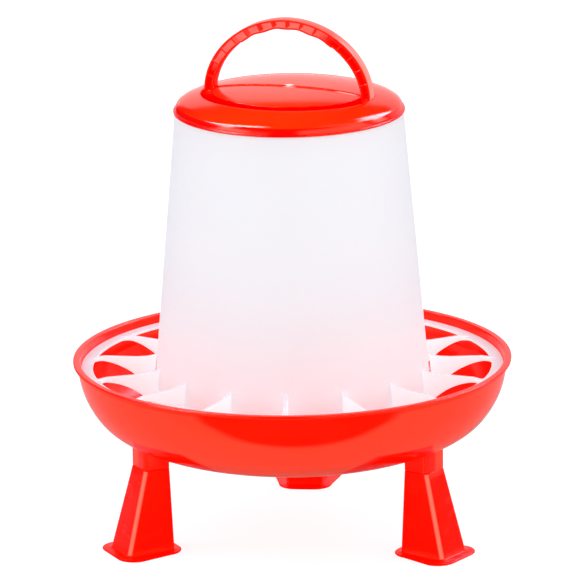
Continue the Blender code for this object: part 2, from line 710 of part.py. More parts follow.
def handle_cell(pairs: list, index: int) -> bpy.types.Object:
    """The pocket between two ribs of the handle, open towards the front."""
    first = index * HANDLE_CELL_STEPS
    chosen = pairs[first:first + HANDLE_CELL_STEPS + 1]
    outer, inner = [], []
    for i, (outside, inside) in enumerate(chosen):
        through = (inside - outside).normalized()
        along = Vector((-through.y, through.x))
        shift = HANDLE_RIB / 2 * (1 if i == 0 else -1 if i == HANDLE_CELL_STEPS else 0)
        outer.append(outside + through * HANDLE_FLANGE + along * -shift)
        inner.append(inside - through * HANDLE_FLANGE + along * -shift)
    front = -HANDLE_DEPTH / 2 - OVERCUT
    return upright(outer + list(reversed(inner)), front, HANDLE_DEPTH / 2 - HANDLE_WEB, "cell")


def build_handle() -> bpy.types.Object:
    """The carry handle: an arch of channel section with cross ribs, on two hinge pins."""
    half = HANDLE_DEPTH / 2
    handle = upright(arch_outline(0, HANDLE_POST_HEIGHT), -half, half, "carry_handle")
    pairs = arch_pairs()
    for index in range(HANDLE_CELLS):
        cut(handle, handle_cell(pairs, index))
    for side in (-1, 1):
        outer = side * HANDLE_HALF_SPAN
        end_outer = side * (HANDLE_HALF_SPAN - HANDLE_END_INSET)
        end_inner = side * (HANDLE_HALF_SPAN - HANDLE_SIDE_THICKNESS + HANDLE_END_INSET)
        end_reach = sorted((end_inner, end_outer))
        join(handle, across_cylinder("end", half - HANDLE_END_INSET, *end_reach))
        pin_reach = sorted((outer - side * HANDLE_WEB, outer + side * PIN_LENGTH))
        join(handle, across_cylinder("pin", PIN_RADIUS, *pin_reach))
    return turned(handle, HANDLE_TURN)


def plan_outline(grow: float, back: float) -> list:
    """The folded handle's outline seen from above, grown on both sides, reaching back past the hinge."""
    outline = arch_outline(grow, HANDLE_POST_HEIGHT + back)
    return [(point.x, -(point.y + HANDLE_POST_HEIGHT)) for point in outline]


def island_outline() -> list:
    """The plan of the lid's middle in front of the hinge, out to the middle of the handle's channel."""
    middle = [(outside + inside) / 2 for outside, inside in arch_pairs()]
    outline = [(point.x, -(point.y + HANDLE_POST_HEIGHT)) for point in middle]
    return [(outline[0][0], 0)] + outline + [(outline[-1][0], 0)]


def build_lid() -> bpy.types.Object:
    """The domed lid with a skirt inside the hopper and a channel that takes the folded handle."""
    lid = lathe("lid", lid_profile(), LID_STEPS)
    reach = HANDLE_DEPTH / 2 + HANDLE_GAP
    channel_floor = HANDLE_HINGE_HEIGHT - reach
    above = HANDLE_HINGE_HEIGHT + TROUGH_RAISE
    trough_plan = plan_outline(HANDLE_GAP + TROUGH_WALL, reach + TROUGH_WALL)
    trough = prism("trough", trough_plan, channel_floor - TROUGH_WALL, above)
    turned(trough, HANDLE_TURN)
    join(lid, boolean(trough, dome_solid(LID_WALL / 2), "INTERSECT"))
    island = turned(prism("island", island_outline(), channel_floor, above), HANDLE_TURN)
    cut(lid, cut(island, dome_solid(ISLAND_STEP)))
    cut(lid, turned(prism("channel", plan_outline(HANDLE_GAP, reach), channel_floor, above), HANDLE_TURN))
    bore_end = HANDLE_HALF_SPAN + HANDLE_GAP + TROUGH_WALL + OVERCUT
    for side in (-1, 1):
        ends = sorted((side * (HANDLE_HALF_SPAN - OVERCUT), side * bore_end))
        cut(lid, turned(across_cylinder("pin_hole", PIN_RADIUS + PIN_GAP, *ends), HANDLE_TURN))
    return lid


def dress(obj: bpy.types.Object, material: bpy.types.Material) -> None:
    """Gives a piece its one material."""
    obj.data.materials.clear()
    obj.data.materials.append(material)


def set_origin(obj: bpy.types.Object, point: tuple) -> None:
    """Moves a piece's origin to a point on its joint, leaving its shape where it is."""
    obj.data.transform(Matrix.Translation(-Vector(point)))
    obj.location = point


def main() -> None:
    """Builds every piece of the feeder."""
    clear_scene()
    dish = build_dish()
    legs = [build_leg(name, index) for index, name in enumerate(("leg_back", "leg_left", "leg_right"))]
    hopper = build_hopper()
    grid = build_grid()
    lid = build_lid()
    handle = build_handle()
    set_origin(handle, (0, 0, HANDLE_HINGE_HEIGHT))
    dress(dish, finish("dish_red", RED, GLOSSY))
    for leg in legs:
        dress(leg, finish(leg.name + "_red", RED, GLOSSY))
    dress(hopper, finish("hopper_milky", MILKY, SATIN))
    dress(grid, finish("grid_white", WHITE, SATIN))
    dress(lid, finish("lid_red", RED, GLOSSY))
    dress(handle, finish("handle_red", DARK_RED, GLOSSY))


main()
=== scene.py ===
"""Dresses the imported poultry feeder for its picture: fine meshes with the CAD pieces' own shapes, moulded
plastic finishes, a white studio and the photograph's camera. Lengths are in metres and +Z is up.
"""

import bpy
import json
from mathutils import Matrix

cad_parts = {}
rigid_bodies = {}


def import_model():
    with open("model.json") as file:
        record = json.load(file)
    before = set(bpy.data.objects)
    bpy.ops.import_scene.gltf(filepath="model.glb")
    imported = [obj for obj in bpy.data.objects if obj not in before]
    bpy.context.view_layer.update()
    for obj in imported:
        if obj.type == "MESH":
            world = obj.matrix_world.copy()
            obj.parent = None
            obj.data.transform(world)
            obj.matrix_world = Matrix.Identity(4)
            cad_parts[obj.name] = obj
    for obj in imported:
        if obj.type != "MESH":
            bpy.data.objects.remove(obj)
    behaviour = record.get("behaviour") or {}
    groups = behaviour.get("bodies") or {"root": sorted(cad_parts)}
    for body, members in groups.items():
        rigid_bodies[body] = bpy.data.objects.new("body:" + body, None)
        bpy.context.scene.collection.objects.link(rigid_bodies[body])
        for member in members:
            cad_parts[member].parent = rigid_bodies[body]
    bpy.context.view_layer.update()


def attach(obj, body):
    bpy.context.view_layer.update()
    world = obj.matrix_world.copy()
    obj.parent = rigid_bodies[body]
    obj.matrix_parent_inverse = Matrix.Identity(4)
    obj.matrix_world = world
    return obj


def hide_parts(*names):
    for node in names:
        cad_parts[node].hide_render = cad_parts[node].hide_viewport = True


for leftover in list(bpy.data.objects):
    bpy.data.objects.remove(leftover, do_unlink=True)
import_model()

import json
import logging
import math
from collections.abc import Callable
from dataclasses import dataclass, field
from enum import Enum

import bmesh
from mathutils import Matrix, Quaternion, Vector
from mathutils.kdtree import KDTree

LOG = logging.getLogger("feeder")

Outline = list[tuple[float, float]]
Ring = list[tuple[float, float, float]]

FULL_TURN = math.tau
TINY = 1e-7
SHARP_ANGLE = math.radians(38)
LATHE_STEPS = 192
OVERCUT = 0.002
OUTER_WALL = "outer_wall"
GATE_HIGHLIGHT = "scar"
CORNER_HIGHLIGHT = "corner"
GROOVE = "groove"
PATTERN_MIDDLE = (0.3, 0.7)


class Operation(Enum):
    """How a Boolean treats its two solids."""

    CUT = "DIFFERENCE"
    JOIN = "UNION"
    KEEP = "INTERSECT"


class Slot(Enum):
    """The record's material slots."""

    RED = "red_plastic"
    MILKY = "milky_plastic"
    WHITE = "white_plastic"


class LegPlace(Enum):
    """The three legs' nodes and the directions in which they stand, in degrees."""

    BACK = ("leg_back", 90)
    LEFT = ("leg_left", 210)
    RIGHT = ("leg_right", 330)

    @property
    def node(self) -> str:
        """The leg's CAD node."""
        return self.value[0]

    @property
    def angle(self) -> float:
        """The leg's direction in radians."""
        return math.radians(self.value[1])


def smooth_through(points: Outline, steps: int, before: tuple = (), after: tuple = ()) -> Outline:
    """Draws a smooth curve that passes through every point.

    Args:
        points: The points in order.
        steps: How many pieces each stretch between two points is cut into.
        before: A point ahead of the first that sets the slope there, or nothing.
        after: A point past the last that sets the slope there, or nothing.

    Returns:
        The curve's points, the given ones included.
    """
    padded = [Vector(before or points[0]), *map(Vector, points), Vector(after or points[-1])]
    slopes = []
    for previous, here, following in zip(padded, padded[1:], padded[2:]):
        back, ahead = (here - previous).length, (following - here).length
        if back < TINY or ahead < TINY:
            slopes.append((following - previous) / max(back + ahead, TINY))
            continue
        entering, leaving = (here - previous) / back, (following - here) / ahead
        slopes.append((entering * ahead + leaving * back) / (back + ahead))
    curve = []
    inner = padded[1:-1]
    for i, (start, end) in enumerate(zip(inner, inner[1:])):
        reach = (end - start).length
        for step in range(steps):
            t = step / steps
            blend = t * t * (3 - 2 * t)
            point = start * (1 - blend) + end * blend
            point += slopes[i] * reach * (t * (1 - t) ** 2) - slopes[i + 1] * reach * (t * t * (1 - t))
            curve.append((point.x, point.y))
    curve.append(tuple(points[-1]))
    return curve


def rounded(points: Outline, radius: float, steps: int = 4, closed: bool = False) -> Outline:
    """Rounds an outline's corners, each no further than halfway along its shorter side.

    Args:
        points: The outline's corners.
        radius: How far from a corner its rounding starts.
        steps: How many pieces a rounding has.
        closed: Whether the outline runs back to its first point, which isn't repeated.

    Returns:
        The rounded outline.
    """
    count = len(points)
    made: Outline = []
    for i, corner in enumerate(points):
        if not closed and i in (0, count - 1):
            made.append(corner)
            continue
        here = Vector(corner)
        before, after = Vector(points[i - 1]), Vector(points[(i + 1) % count])
        start = here + (before - here).normalized() * min(radius, (before - here).length / 2)
        end = here + (after - here).normalized() * min(radius, (after - here).length / 2)
        for step in range(steps + 1):
            t = step / steps
            point = start * (1 - t) ** 2 + here * 2 * t * (1 - t) + end * t * t
            made.append((point.x, point.y))
    return made


def offset(points: Outline, distance: float, closed: bool = False) -> Outline:
    """Moves a curve sideways.

    Args:
        points: The curve's points.
        distance: How far it moves to the left of its direction.
        closed: Whether the curve runs back to its first point.

    Returns:
        The moved points, one for each given one.
    """
    count = len(points)
    moved = []
    for i, (x, y) in enumerate(points):
        before = points[i - 1] if closed or i else points[0]
        after = points[(i + 1) % count] if closed or i < count - 1 else points[-1]
        along = Vector((after[0] - before[0], after[1] - before[1]))
        along = along.normalized() if along.length > TINY else Vector((1, 0))
        moved.append((x - along.y * distance, y + along.x * distance))
    return moved


def height_on(curve: Outline, radius: float) -> float:
    """How high a curve of (radius, height) points with rising radii runs at a radius."""
    if radius <= curve[0][0]:
        return curve[0][1]
    for low, high in zip(curve, curve[1:]):
        if radius <= high[0]:
            share = (radius - low[0]) / max(high[0] - low[0], TINY)
            return low[1] + (high[1] - low[1]) * share
    return curve[-1][1]


def at_height(outline: Outline, height: float) -> Ring:
    """An outline's points at one height."""
    return [(x, y, height) for x, y in outline]


def draped(outline: Outline, surface: Outline, drop: float = 0.0) -> Ring:
    """An outline's points on a spun surface, or lower by a drop."""
    return [(x, y, height_on(surface, math.hypot(x, y)) - drop) for x, y in outline]


def on_circle(radius: float, turn: float) -> tuple[float, float]:
    """The point of a circle at a turn."""
    return radius * math.cos(turn), radius * math.sin(turn)


def parted(start: float, end: float, steps: int) -> list[float]:
    """Evenly spaced values from a start to an end, both included."""
    return [start + (end - start) * i / steps for i in range(steps + 1)]


def object_from(name: str, points: list, faces: list) -> bpy.types.Object:
    """Puts a mesh in the scene with its faces turned outwards.

    Args:
        name: The object's name.
        points: Its corners.
        faces: The corners' numbers for each face.

    Returns:
        The new object.
    """
    data = bpy.data.meshes.new(name)
    data.from_pydata([tuple(point) for point in points], [], faces)
    obj = bpy.data.objects.new(name, data)
    bpy.context.scene.collection.objects.link(obj)
    mesh = bmesh.new()
    mesh.from_mesh(data)
    bmesh.ops.recalc_face_normals(mesh, faces=mesh.faces)
    mesh.to_mesh(data)
    mesh.free()
    return obj


def lathe(name: str, profile: Outline, steps: int = LATHE_STEPS) -> bpy.types.Object:
    """Spins a profile round the upright axis.

    Args:
        name: The object's name.
        profile: Points of (radius, height). A ring's profile names its first point again at its end.
        steps: How many facets go round.

    Returns:
        The spun object.
    """
    closed = profile[0] == profile[-1]
    points, rows, faces = [], [], []
    for radius, height in profile[:-1] if closed else profile:
        first = len(points)
        if radius < TINY:
            points.append((0, 0, height))
            rows.append([first] * steps)
            continue
        points += [(*on_circle(radius, turn), height) for turn in parted(0, FULL_TURN, steps)[:-1]]
        rows.append(list(range(first, first + steps)))
    pairs = list(zip(rows, rows[1:])) + ([(rows[-1], rows[0])] if closed else [])
    for low, high in pairs:
        for i in range(steps):
            face = list(dict.fromkeys((low[i - 1], low[i], high[i], high[i - 1])))
            if len(face) > 2:
                faces.append(face)
    return object_from(name, points, faces)


def loft(name: str, rings: list[Ring], loop: bool = False) -> bpy.types.Object:
    """Joins rings of points that match one to one.

    Args:
        name: The object's name.
        rings: The rings in order.
        loop: Whether the last ring joins the first. Otherwise both ends are capped.

    Returns:
        The lofted object.
    """
    size = len(rings[0])
    points = [point for ring in rings for point in ring]
    rows = [range(i * size, (i + 1) * size) for i in range(len(rings))]
    pairs = list(zip(rows, rows[1:])) + ([(rows[-1], rows[0])] if loop else [])
    faces = [(low[i - 1], low[i], high[i], high[i - 1]) for low, high in pairs for i in range(size)]
    if not loop:
        faces += [list(rows[0]), list(rows[-1])]
    return object_from(name, points, faces)


def fan(radii: tuple, turns: list[float]) -> Outline:
    """An outline between two radii, out along the turns and back."""
    return [on_circle(radii[1], turn) for turn in turns] + [on_circle(radii[0], turn) for turn in turns[::-1]]


def prism(name: str, outline: Outline, low: float, high: float) -> bpy.types.Object:
    """Stands a plan outline up between two heights."""
    return loft(name, [at_height(outline, low), at_height(outline, high)])


def turned(obj: bpy.types.Object, angle: float) -> bpy.types.Object:
    """Turns an object's mesh round the upright axis."""
    obj.data.transform(Matrix.Rotation(angle, 4, "Z"))
    return obj


def boolean(target: bpy.types.Object, other: bpy.types.Object, operation: Operation) -> bpy.types.Object:
    """Cuts, joins or intersects two solids.

    Args:
        target: The solid that is kept.
        other: The solid that is used up.
        operation: What is done.

    Returns:
        The changed target.
    """
    modifier = target.modifiers.new(operation.name, "BOOLEAN")
    modifier.operation = operation.value
    modifier.solver = "EXACT"
    modifier.object = other
    graph = bpy.context.evaluated_depsgraph_get()
    result = bpy.data.meshes.new_from_object(target.evaluated_get(graph))
    target.modifiers.remove(modifier)
    target.data = result
    bpy.data.objects.remove(other, do_unlink=True)
    return target


def merged(name: str, parts: list[bpy.types.Object]) -> bpy.types.Object:
    """Puts several objects' meshes into one object, as separate shells of one moulding.

    Args:
        name: The new object's name.
        parts: The objects, which are used up.

    Returns:
        The new object.
    """
    mesh = bmesh.new()
    for part in parts:
        mesh.from_mesh(part.data)
        bpy.data.objects.remove(part, do_unlink=True)
    data = bpy.data.meshes.new(name)
    mesh.to_mesh(data)
    mesh.free()
    obj = bpy.data.objects.new(name, data)
    bpy.context.scene.collection.objects.link(obj)
    return obj


def soften(obj: bpy.types.Object) -> None:
    """Shades a mesh smoothly, except across its real edges."""
    mesh = bmesh.new()
    mesh.from_mesh(obj.data)
    bmesh.ops.recalc_face_normals(mesh, faces=mesh.faces)
    for face in mesh.faces:
        face.smooth = True
    for edge in mesh.edges:
        edge.smooth = len(edge.link_faces) == 2 and edge.calc_face_angle(0) < SHARP_ANGLE
    mesh.to_mesh(obj.data)
    mesh.free()


class NodeTree:
    """Adds and joins shader nodes in an emptied tree."""

    def __init__(self, owner: bpy.types.ID, output: str) -> None:
        """Empties the tree of a material or world and gives it an output node."""
        owner.use_nodes = True
        self.tree = owner.node_tree
        self.tree.nodes.clear()
        self.output = self.add(output)

    def add(self, kind: str, **values: object) -> bpy.types.Node:
        """Adds a node of a kind and sets its properties."""
        node = self.tree.nodes.new(kind)
        for key, value in values.items():
            setattr(node, key, value)
        return node

    def join(self, source: bpy.types.NodeSocket, target: bpy.types.NodeSocket) -> None:
        """Joins an output to an input."""
        self.tree.links.new(source, target)

    def feed(self, socket: bpy.types.NodeSocket, value: object) -> None:
        """Joins an output to an input, or sets the input to a plain value."""
        if isinstance(value, bpy.types.NodeSocket):
            self.join(value, socket)
        else:
            socket.default_value = value

    def reckon(self, operation: str, first: object, second: object = 0.0) -> bpy.types.NodeSocket:
        """Puts one or two values through a Math node."""
        node = self.add("ShaderNodeMath", operation=operation)
        self.feed(node.inputs[0], first)
        self.feed(node.inputs[1], second)
        return node.outputs[0]

    def times(self, first: object, *others: object) -> object:
        """Multiplies values in their order."""
        for other in others:
            first = self.reckon("MULTIPLY", first, other)
        return first

    def left_by(self, share: object) -> bpy.types.NodeSocket:
        """What a share leaves of 1."""
        return self.reckon("SUBTRACT", 1.0, share)

    def step(self, source: bpy.types.NodeSocket, start: float, end: float) -> bpy.types.NodeSocket:
        """Rises smoothly from 0 to 1 as a value goes from a start to an end."""
        node = self.add("ShaderNodeMapRange", interpolation_type="SMOOTHSTEP")
        node.inputs["From Min"].default_value = start
        node.inputs["From Max"].default_value = end
        self.join(source, node.inputs["Value"])
        return node.outputs["Result"]

    def scaled(self, colour: tuple, strength: object) -> bpy.types.NodeSocket:
        """Makes a colour as strong as a value says."""
        node = self.add("ShaderNodeVectorMath", operation="SCALE")
        node.inputs[0].default_value = colour
        self.feed(node.inputs["Scale"], strength)
        return node.outputs[0]

    def total(self, first: bpy.types.NodeSocket, second: bpy.types.NodeSocket) -> bpy.types.NodeSocket:
        """Adds up two colours."""
        node = self.add("ShaderNodeVectorMath", operation="ADD")
        self.join(first, node.inputs[0])
        self.join(second, node.inputs[1])
        return node.outputs[0]

    def mix(self, factor: object, first: object, second: object) -> bpy.types.NodeSocket:
        """Mixes two colours by a factor."""
        node = self.add("ShaderNodeMix", data_type="RGBA")
        self.feed(node.inputs[0], factor)
        self.feed(node.inputs[6], first)
        self.feed(node.inputs[7], second)
        return node.outputs[2]


class Nodes(NodeTree):
    """Builds one material's shader nodes."""

    def __init__(self, name: str) -> None:
        """Starts an empty material with this name."""
        self.material = bpy.data.materials.new(name)
        super().__init__(self.material, "ShaderNodeOutputMaterial")
        self.place = self.add("ShaderNodeTexCoord").outputs["Object"]

    def noise(self, scale: float, detail: float = 2.0, stretch: tuple = (1, 1, 1)) -> bpy.types.NodeSocket:
        """Adds a noise pattern.

        Args:
            scale: Its fineness in patches to a metre.
            detail: How many finer layers it has.
            stretch: How much finer it is along each axis.

        Returns:
            The pattern's strength, from 0 to 1.
        """
        mapping = self.add("ShaderNodeMapping")
        mapping.inputs["Scale"].default_value = stretch
        self.join(self.place, mapping.inputs["Vector"])
        node = self.add("ShaderNodeTexNoise")
        node.inputs["Scale"].default_value = scale
        node.inputs["Detail"].default_value = detail
        self.join(mapping.outputs["Vector"], node.inputs["Vector"])
        return node.outputs["Fac"]

    def spread(self, source: bpy.types.NodeSocket, low: float, high: float) -> bpy.types.NodeSocket:
        """Spreads a pattern's middle part between two values."""
        node = self.add("ShaderNodeMapRange")
        for key, value in zip(("From Min", "From Max", "To Min", "To Max"), (*PATTERN_MIDDLE, low, high)):
            node.inputs[key].default_value = value
        self.join(source, node.inputs["Value"])
        return node.outputs["Result"]

    def along(self, direction: tuple) -> bpy.types.NodeSocket:
        """How far a spot lies along a direction from the object's middle."""
        node = self.add("ShaderNodeVectorMath", operation="DOT_PRODUCT")
        node.inputs[1].default_value = direction
        self.join(self.place, node.inputs[0])
        return node.outputs["Value"]

    def marked(self, name: str) -> bpy.types.NodeSocket:
        """The weight that the faces carry under a name."""
        return self.add("ShaderNodeAttribute", attribute_name=name).outputs["Fac"]

    def crevice(self, reach: float, span: tuple) -> bpy.types.NodeSocket:
        """How open a spot is within a reach, from 0 in a corner to 1 in the open.

        Args:
            reach: How far off a wall still counts.
            span: The open shares of the sky that count as 0 and as 1.

        Returns:
            The spot's openness.
        """
        node = self.add("ShaderNodeAmbientOcclusion", samples=4)
        node.inputs["Distance"].default_value = reach
        return self.step(node.outputs["AO"], *span)

    def facing(self, direction: tuple) -> bpy.types.NodeSocket:
        """How far the surface faces a direction, 1 for straight at it."""
        node = self.add("ShaderNodeVectorMath", operation="DOT_PRODUCT")
        node.inputs[1].default_value = direction
        self.join(self.add("ShaderNodeNewGeometry").outputs["Normal"], node.inputs[0])
        return node.outputs["Value"]

    def bump(self, source: bpy.types.NodeSocket, depth: float, under: object = None) -> bpy.types.NodeSocket:
        """Turns a pattern into relief.

        Args:
            source: The pattern.
            depth: The relief's depth in metres.
            under: Another relief that this one lies on, or nothing.

        Returns:
            The surface's direction.
        """
        node = self.add("ShaderNodeBump")
        node.inputs["Distance"].default_value = depth
        self.join(source, node.inputs["Height"])
        if under is not None:
            self.join(under, node.inputs["Normal"])
        return node.outputs["Normal"]

    def plastic(self, body: object, rough: object, gloss: float, relief: object) -> bpy.types.Node:
        """Adds a plastic's shader.

        Args:
            body: Its colour.
            rough: Its roughness.
            gloss: How strongly it mirrors.
            relief: The surface's direction.

        Returns:
            The shader.
        """
        shader = self.add("ShaderNodeBsdfPrincipled")
        values = {"Base Color": body, "Roughness": rough, "Specular IOR Level": gloss, "Normal": relief}
        for key, value in values.items():
            self.feed(shader.inputs[key], value)
        return shader

    def light_up(self, shader: bpy.types.Node, colour: object, strength: object) -> None:
        """Lets a shader glow in a colour."""
        self.feed(shader.inputs["Emission Color"], colour)
        self.feed(shader.inputs["Emission Strength"], strength)

    def finished(self, shader: bpy.types.Node) -> bpy.types.Material:
        """Puts a shader on the surface and hands over the material."""
        self.join(shader.outputs[0], self.output.inputs["Surface"])
        return self.material


@dataclass(frozen=True)
class GlossyPlastic:
    """Shiny moulded polypropylene, a little uneven in colour, with a painted glow and painted crevice shade."""

    name: str
    colour: tuple = (1.0, 0.009, 0.0, 1.0)
    deep_colour: tuple = (0.95, 0.005, 0.0, 1.0)
    gloss_tint: tuple = (1.0, 0.85, 0.45, 1.0)
    # painted light: the colour and strength of a glow that lifts the shade all over
    glow_colour: tuple = (1.0, 0.0, 0.0, 1.0)
    glow: float = 0.3
    roughness: tuple = (0.1, 0.15)
    gloss: float = 0.3
    # painted shade: the darker red deep in crevices
    crevice_shade_colour: tuple = (0.8, 0.0, 0.0, 1.0)
    crevice_reach: float = 0.0
    crevice_span: tuple = (0.2, 0.75)
    edge_radius: float = 0.0
    flow: tuple = (9, 3, (1, 1, 0.4))
    flow_depth: float = 0.00012
    grain: tuple = (900, 2)
    grain_depth: float = 0.000012
    smears: tuple = (38, 4, (1, 1, 2.5))

    def build(self) -> bpy.types.Material:
        """Makes the material."""
        nodes = Nodes(self.name)
        flow = nodes.noise(*self.flow)
        body = nodes.mix(nodes.spread(flow, 0, 1), self.colour, self.deep_colour)
        if self.crevice_reach:
            # painted shade: darker red where the spot is closed in
            body = nodes.mix(self.openness(nodes), self.crevice_shade_colour, body)
        edge = None
        if self.edge_radius:
            bevel = nodes.add("ShaderNodeBevel", samples=6)
            bevel.inputs["Radius"].default_value = self.edge_radius
            edge = bevel.outputs["Normal"]
        relief = nodes.bump(nodes.noise(*self.grain), self.grain_depth, nodes.bump(flow, self.flow_depth, edge))
        rough = nodes.spread(nodes.noise(*self.smears), *self.roughness)
        shader = nodes.plastic(body, rough, self.gloss, relief)
        shader.inputs["Specular Tint"].default_value = self.gloss_tint
        # painted light: the part glows to lift its shade
        nodes.light_up(shader, self.painted_light_colour(nodes), self.glow)
        return nodes.finished(shader)

    def painted_light_colour(self, nodes: Nodes) -> object:
        """The colour of the painted glow that lifts the shade."""
        return self.glow_colour

    def openness(self, nodes: Nodes) -> bpy.types.NodeSocket:
        """How open a spot is, 0 deep in a crevice, where painted shade goes."""
        return nodes.crevice(self.crevice_reach, self.crevice_span)


@dataclass(frozen=True)
class BowlPlastic(GlossyPlastic):
    """Glossy plastic of the dish, with painted light on its flanks, but not on its front or in the painted shadow
    by the legs.
    """

    # painted light: the colour in which the flanks glow
    flank_light_colour: tuple = (1.0, 0.15, 0.075, 1.0)
    calm_middle: float = 0.09
    calm_bend: float = 1.4
    calm_edge: tuple = (-0.34, -0.43)
    rim: tuple = (0.1372, 0.1385)
    rim_share: float = 0.5
    outside: tuple = (0.12, 0.02)
    shade_top: tuple = (0.1025, 0.0995)
    shade_slope: float = 0.55
    shade_bend: float = 0.077
    shade_side: tuple = (0.119, 0.1165)
    shade_front: tuple = (0.0, 0.03)

    def flank(self, nodes: Nodes) -> bpy.types.NodeSocket:
        """The painted light outside the deep red fan in front, which lies between two bends of the wall.

        Args:
            nodes: The material's nodes.

        Returns:
            The painted light's share, which is less at the rim.
        """
        upward = nodes.facing((0, 0, 1))
        aside = nodes.reckon("SUBTRACT", nodes.facing((1, 0, 0)), self.calm_middle)
        turned_by = nodes.reckon("POWER", aside, 2.0)
        calm = nodes.reckon("SUBTRACT", upward, nodes.times(turned_by, self.calm_bend))
        rim = nodes.times(nodes.step(nodes.along((0, 0, 1)), *self.rim), self.rim_share)
        below = nodes.step(upward, *self.outside)
        return nodes.times(nodes.step(calm, *self.calm_edge), below, nodes.left_by(rim))

    def shade(self, nodes: Nodes) -> bpy.types.NodeSocket:
        """The painted shadow wedges beside the front legs.

        Args:
            nodes: The material's nodes.

        Returns:
            The shade's share.
        """
        aside = nodes.reckon("ABSOLUTE", nodes.along((1, 0, 0)))
        bend = nodes.reckon("MAXIMUM", nodes.reckon("SUBTRACT", self.shade_bend, aside))
        height = nodes.reckon("ADD", nodes.along((0, 0, 1)), nodes.times(bend, self.shade_slope))
        return nodes.times(
            nodes.step(height, *self.shade_top), nodes.step(aside, *self.shade_side),
            nodes.step(nodes.along((0, -1, 0)), *self.shade_front),
        )

    def painted_light_colour(self, nodes: Nodes) -> object:
        """Paints light on the flanks, less the painted shadow by the legs."""
        # painted light on the flanks, less the painted shadow by the legs
        lit = nodes.times(self.flank(nodes), nodes.left_by(self.shade(nodes)))
        return nodes.mix(lit, self.glow_colour, self.flank_light_colour)


@dataclass(frozen=True)
class LegPlastic(GlossyPlastic):
    """Plastic of the legs, with painted highlights on their rounded outer corners."""

    gloss_tint: tuple = (1.0, 0.8, 0.25, 1.0)
    # painted highlight: the colour in which the rounded corners glow
    corner_highlight_colour: tuple = (1.0, 0.62, 0.42, 1.0)

    def painted_light_colour(self, nodes: Nodes) -> object:
        """Paints highlights on the corners."""
        return nodes.mix(nodes.marked(CORNER_HIGHLIGHT), self.glow_colour, self.corner_highlight_colour)


@dataclass(frozen=True)
class WebbedPlastic(GlossyPlastic):
    """Glossy plastic of a ribbed channel, with painted light in the cells on the lit side and on the outer wall.
    """

    # painted light: the paler colour of the lit cells and the outer wall
    lit_colour: tuple = (1.0, 0.8, 0.66, 1.0)
    through: tuple = (0.0, 1.0, 0.0)
    web_depth: tuple = (0.001, 0.0033)
    cell_share: float = 0.62
    skyward: tuple = (-0.3, 0.0, 0.954)
    sky_facing: tuple = (0.15, 0.8)
    bright_side: tuple = (0.372, 0.386)
    rightward: tuple = (0.99, 0.0, 0.1)
    right_side: tuple = (0.35, 0.9)
    outer_share: float = 0.08

    def painted_light_colour(self, nodes: Nodes) -> object:
        """Paints light on the cells that face up on the lit side and on the thin outer wall all along.

        Args:
            nodes: The material's nodes.

        Returns:
            The painted glow's colour.
        """
        cell = nodes.step(nodes.facing(self.skyward), *self.sky_facing)
        cell = nodes.reckon("MAXIMUM", nodes.step(nodes.along(self.through), *self.web_depth), cell)
        lit = nodes.step(nodes.along(self.skyward), *self.bright_side)
        cell = nodes.times(cell, lit, self.cell_share)
        share = nodes.step(nodes.facing(self.rightward), *self.right_side)
        share = nodes.reckon("MULTIPLY_ADD", share, 1 - self.outer_share)
        share.node.inputs[2].default_value = self.outer_share
        outer = nodes.times(nodes.marked(OUTER_WALL), share)
        # painted light: the cells on the lit side and the outer wall glow paler
        return nodes.mix(nodes.reckon("MAXIMUM", cell, outer), self.glow_colour, self.lit_colour)


@dataclass(frozen=True)
class LidPlastic(GlossyPlastic):
    """Glossy plastic with painted highlights on the gate mark and the step's edge, and painted shade in the
    channel.
    """

    # painted highlight: the gate mark glows near white
    gate_highlight_colour: tuple = (3.2, 2.5, 2.3, 1.0)
    # painted highlight: short bright patches along the edge of the sunken middle
    edge_highlight_colour: tuple = (3.0, 2.0, 1.7, 1.0)
    line: tuple = (1.0, 0.0, 0.0)
    forward: tuple = (0.0, -1.0, 0.0)
    edge_start: float = 0.0008
    edge_width: float = 0.0032
    spots: tuple = ((0.037, 0.0595), (-0.0055, 0.0075))
    # painted shade: a dimmer glow in the handle's channel
    groove_shade_glow: tuple = (0.5, 0.0, 0.0, 1.0)

    def openness(self, nodes: Nodes) -> bpy.types.NodeSocket:
        """How open a spot is, 0 in the handle's channel, which gets painted shade."""
        return nodes.times(super().openness(nodes), nodes.left_by(nodes.marked(GROOVE)))

    def painted_light_colour(self, nodes: Nodes) -> object:
        """Paints highlights on the gate mark and along the edge, and shade in the channel.

        Args:
            nodes: The material's nodes.

        Returns:
            The painted glow's colour.
        """
        # painted highlight: short patches just in front of the edge line
        ahead, across = nodes.along(self.forward), nodes.along(self.line)
        narrow = nodes.step(ahead, self.edge_width, self.edge_width / 2)
        band = nodes.times(nodes.step(ahead, 0.0, self.edge_start), narrow)
        spots: object = 0.0
        for start, end in self.spots:
            soft = (end - start) / 3
            spot = nodes.times(nodes.step(across, start, start + soft), nodes.step(across, end, end - soft))
            spots = nodes.reckon("ADD", spot, spots)
        # painted shade: a dimmer glow in the channel
        shine = nodes.mix(nodes.marked(GROOVE), self.glow_colour, self.groove_shade_glow)
        shine = nodes.mix(nodes.times(band, spots), shine, self.edge_highlight_colour)
        # painted highlight on the gate mark
        return nodes.mix(nodes.marked(GATE_HIGHLIGHT), shine, self.gate_highlight_colour)


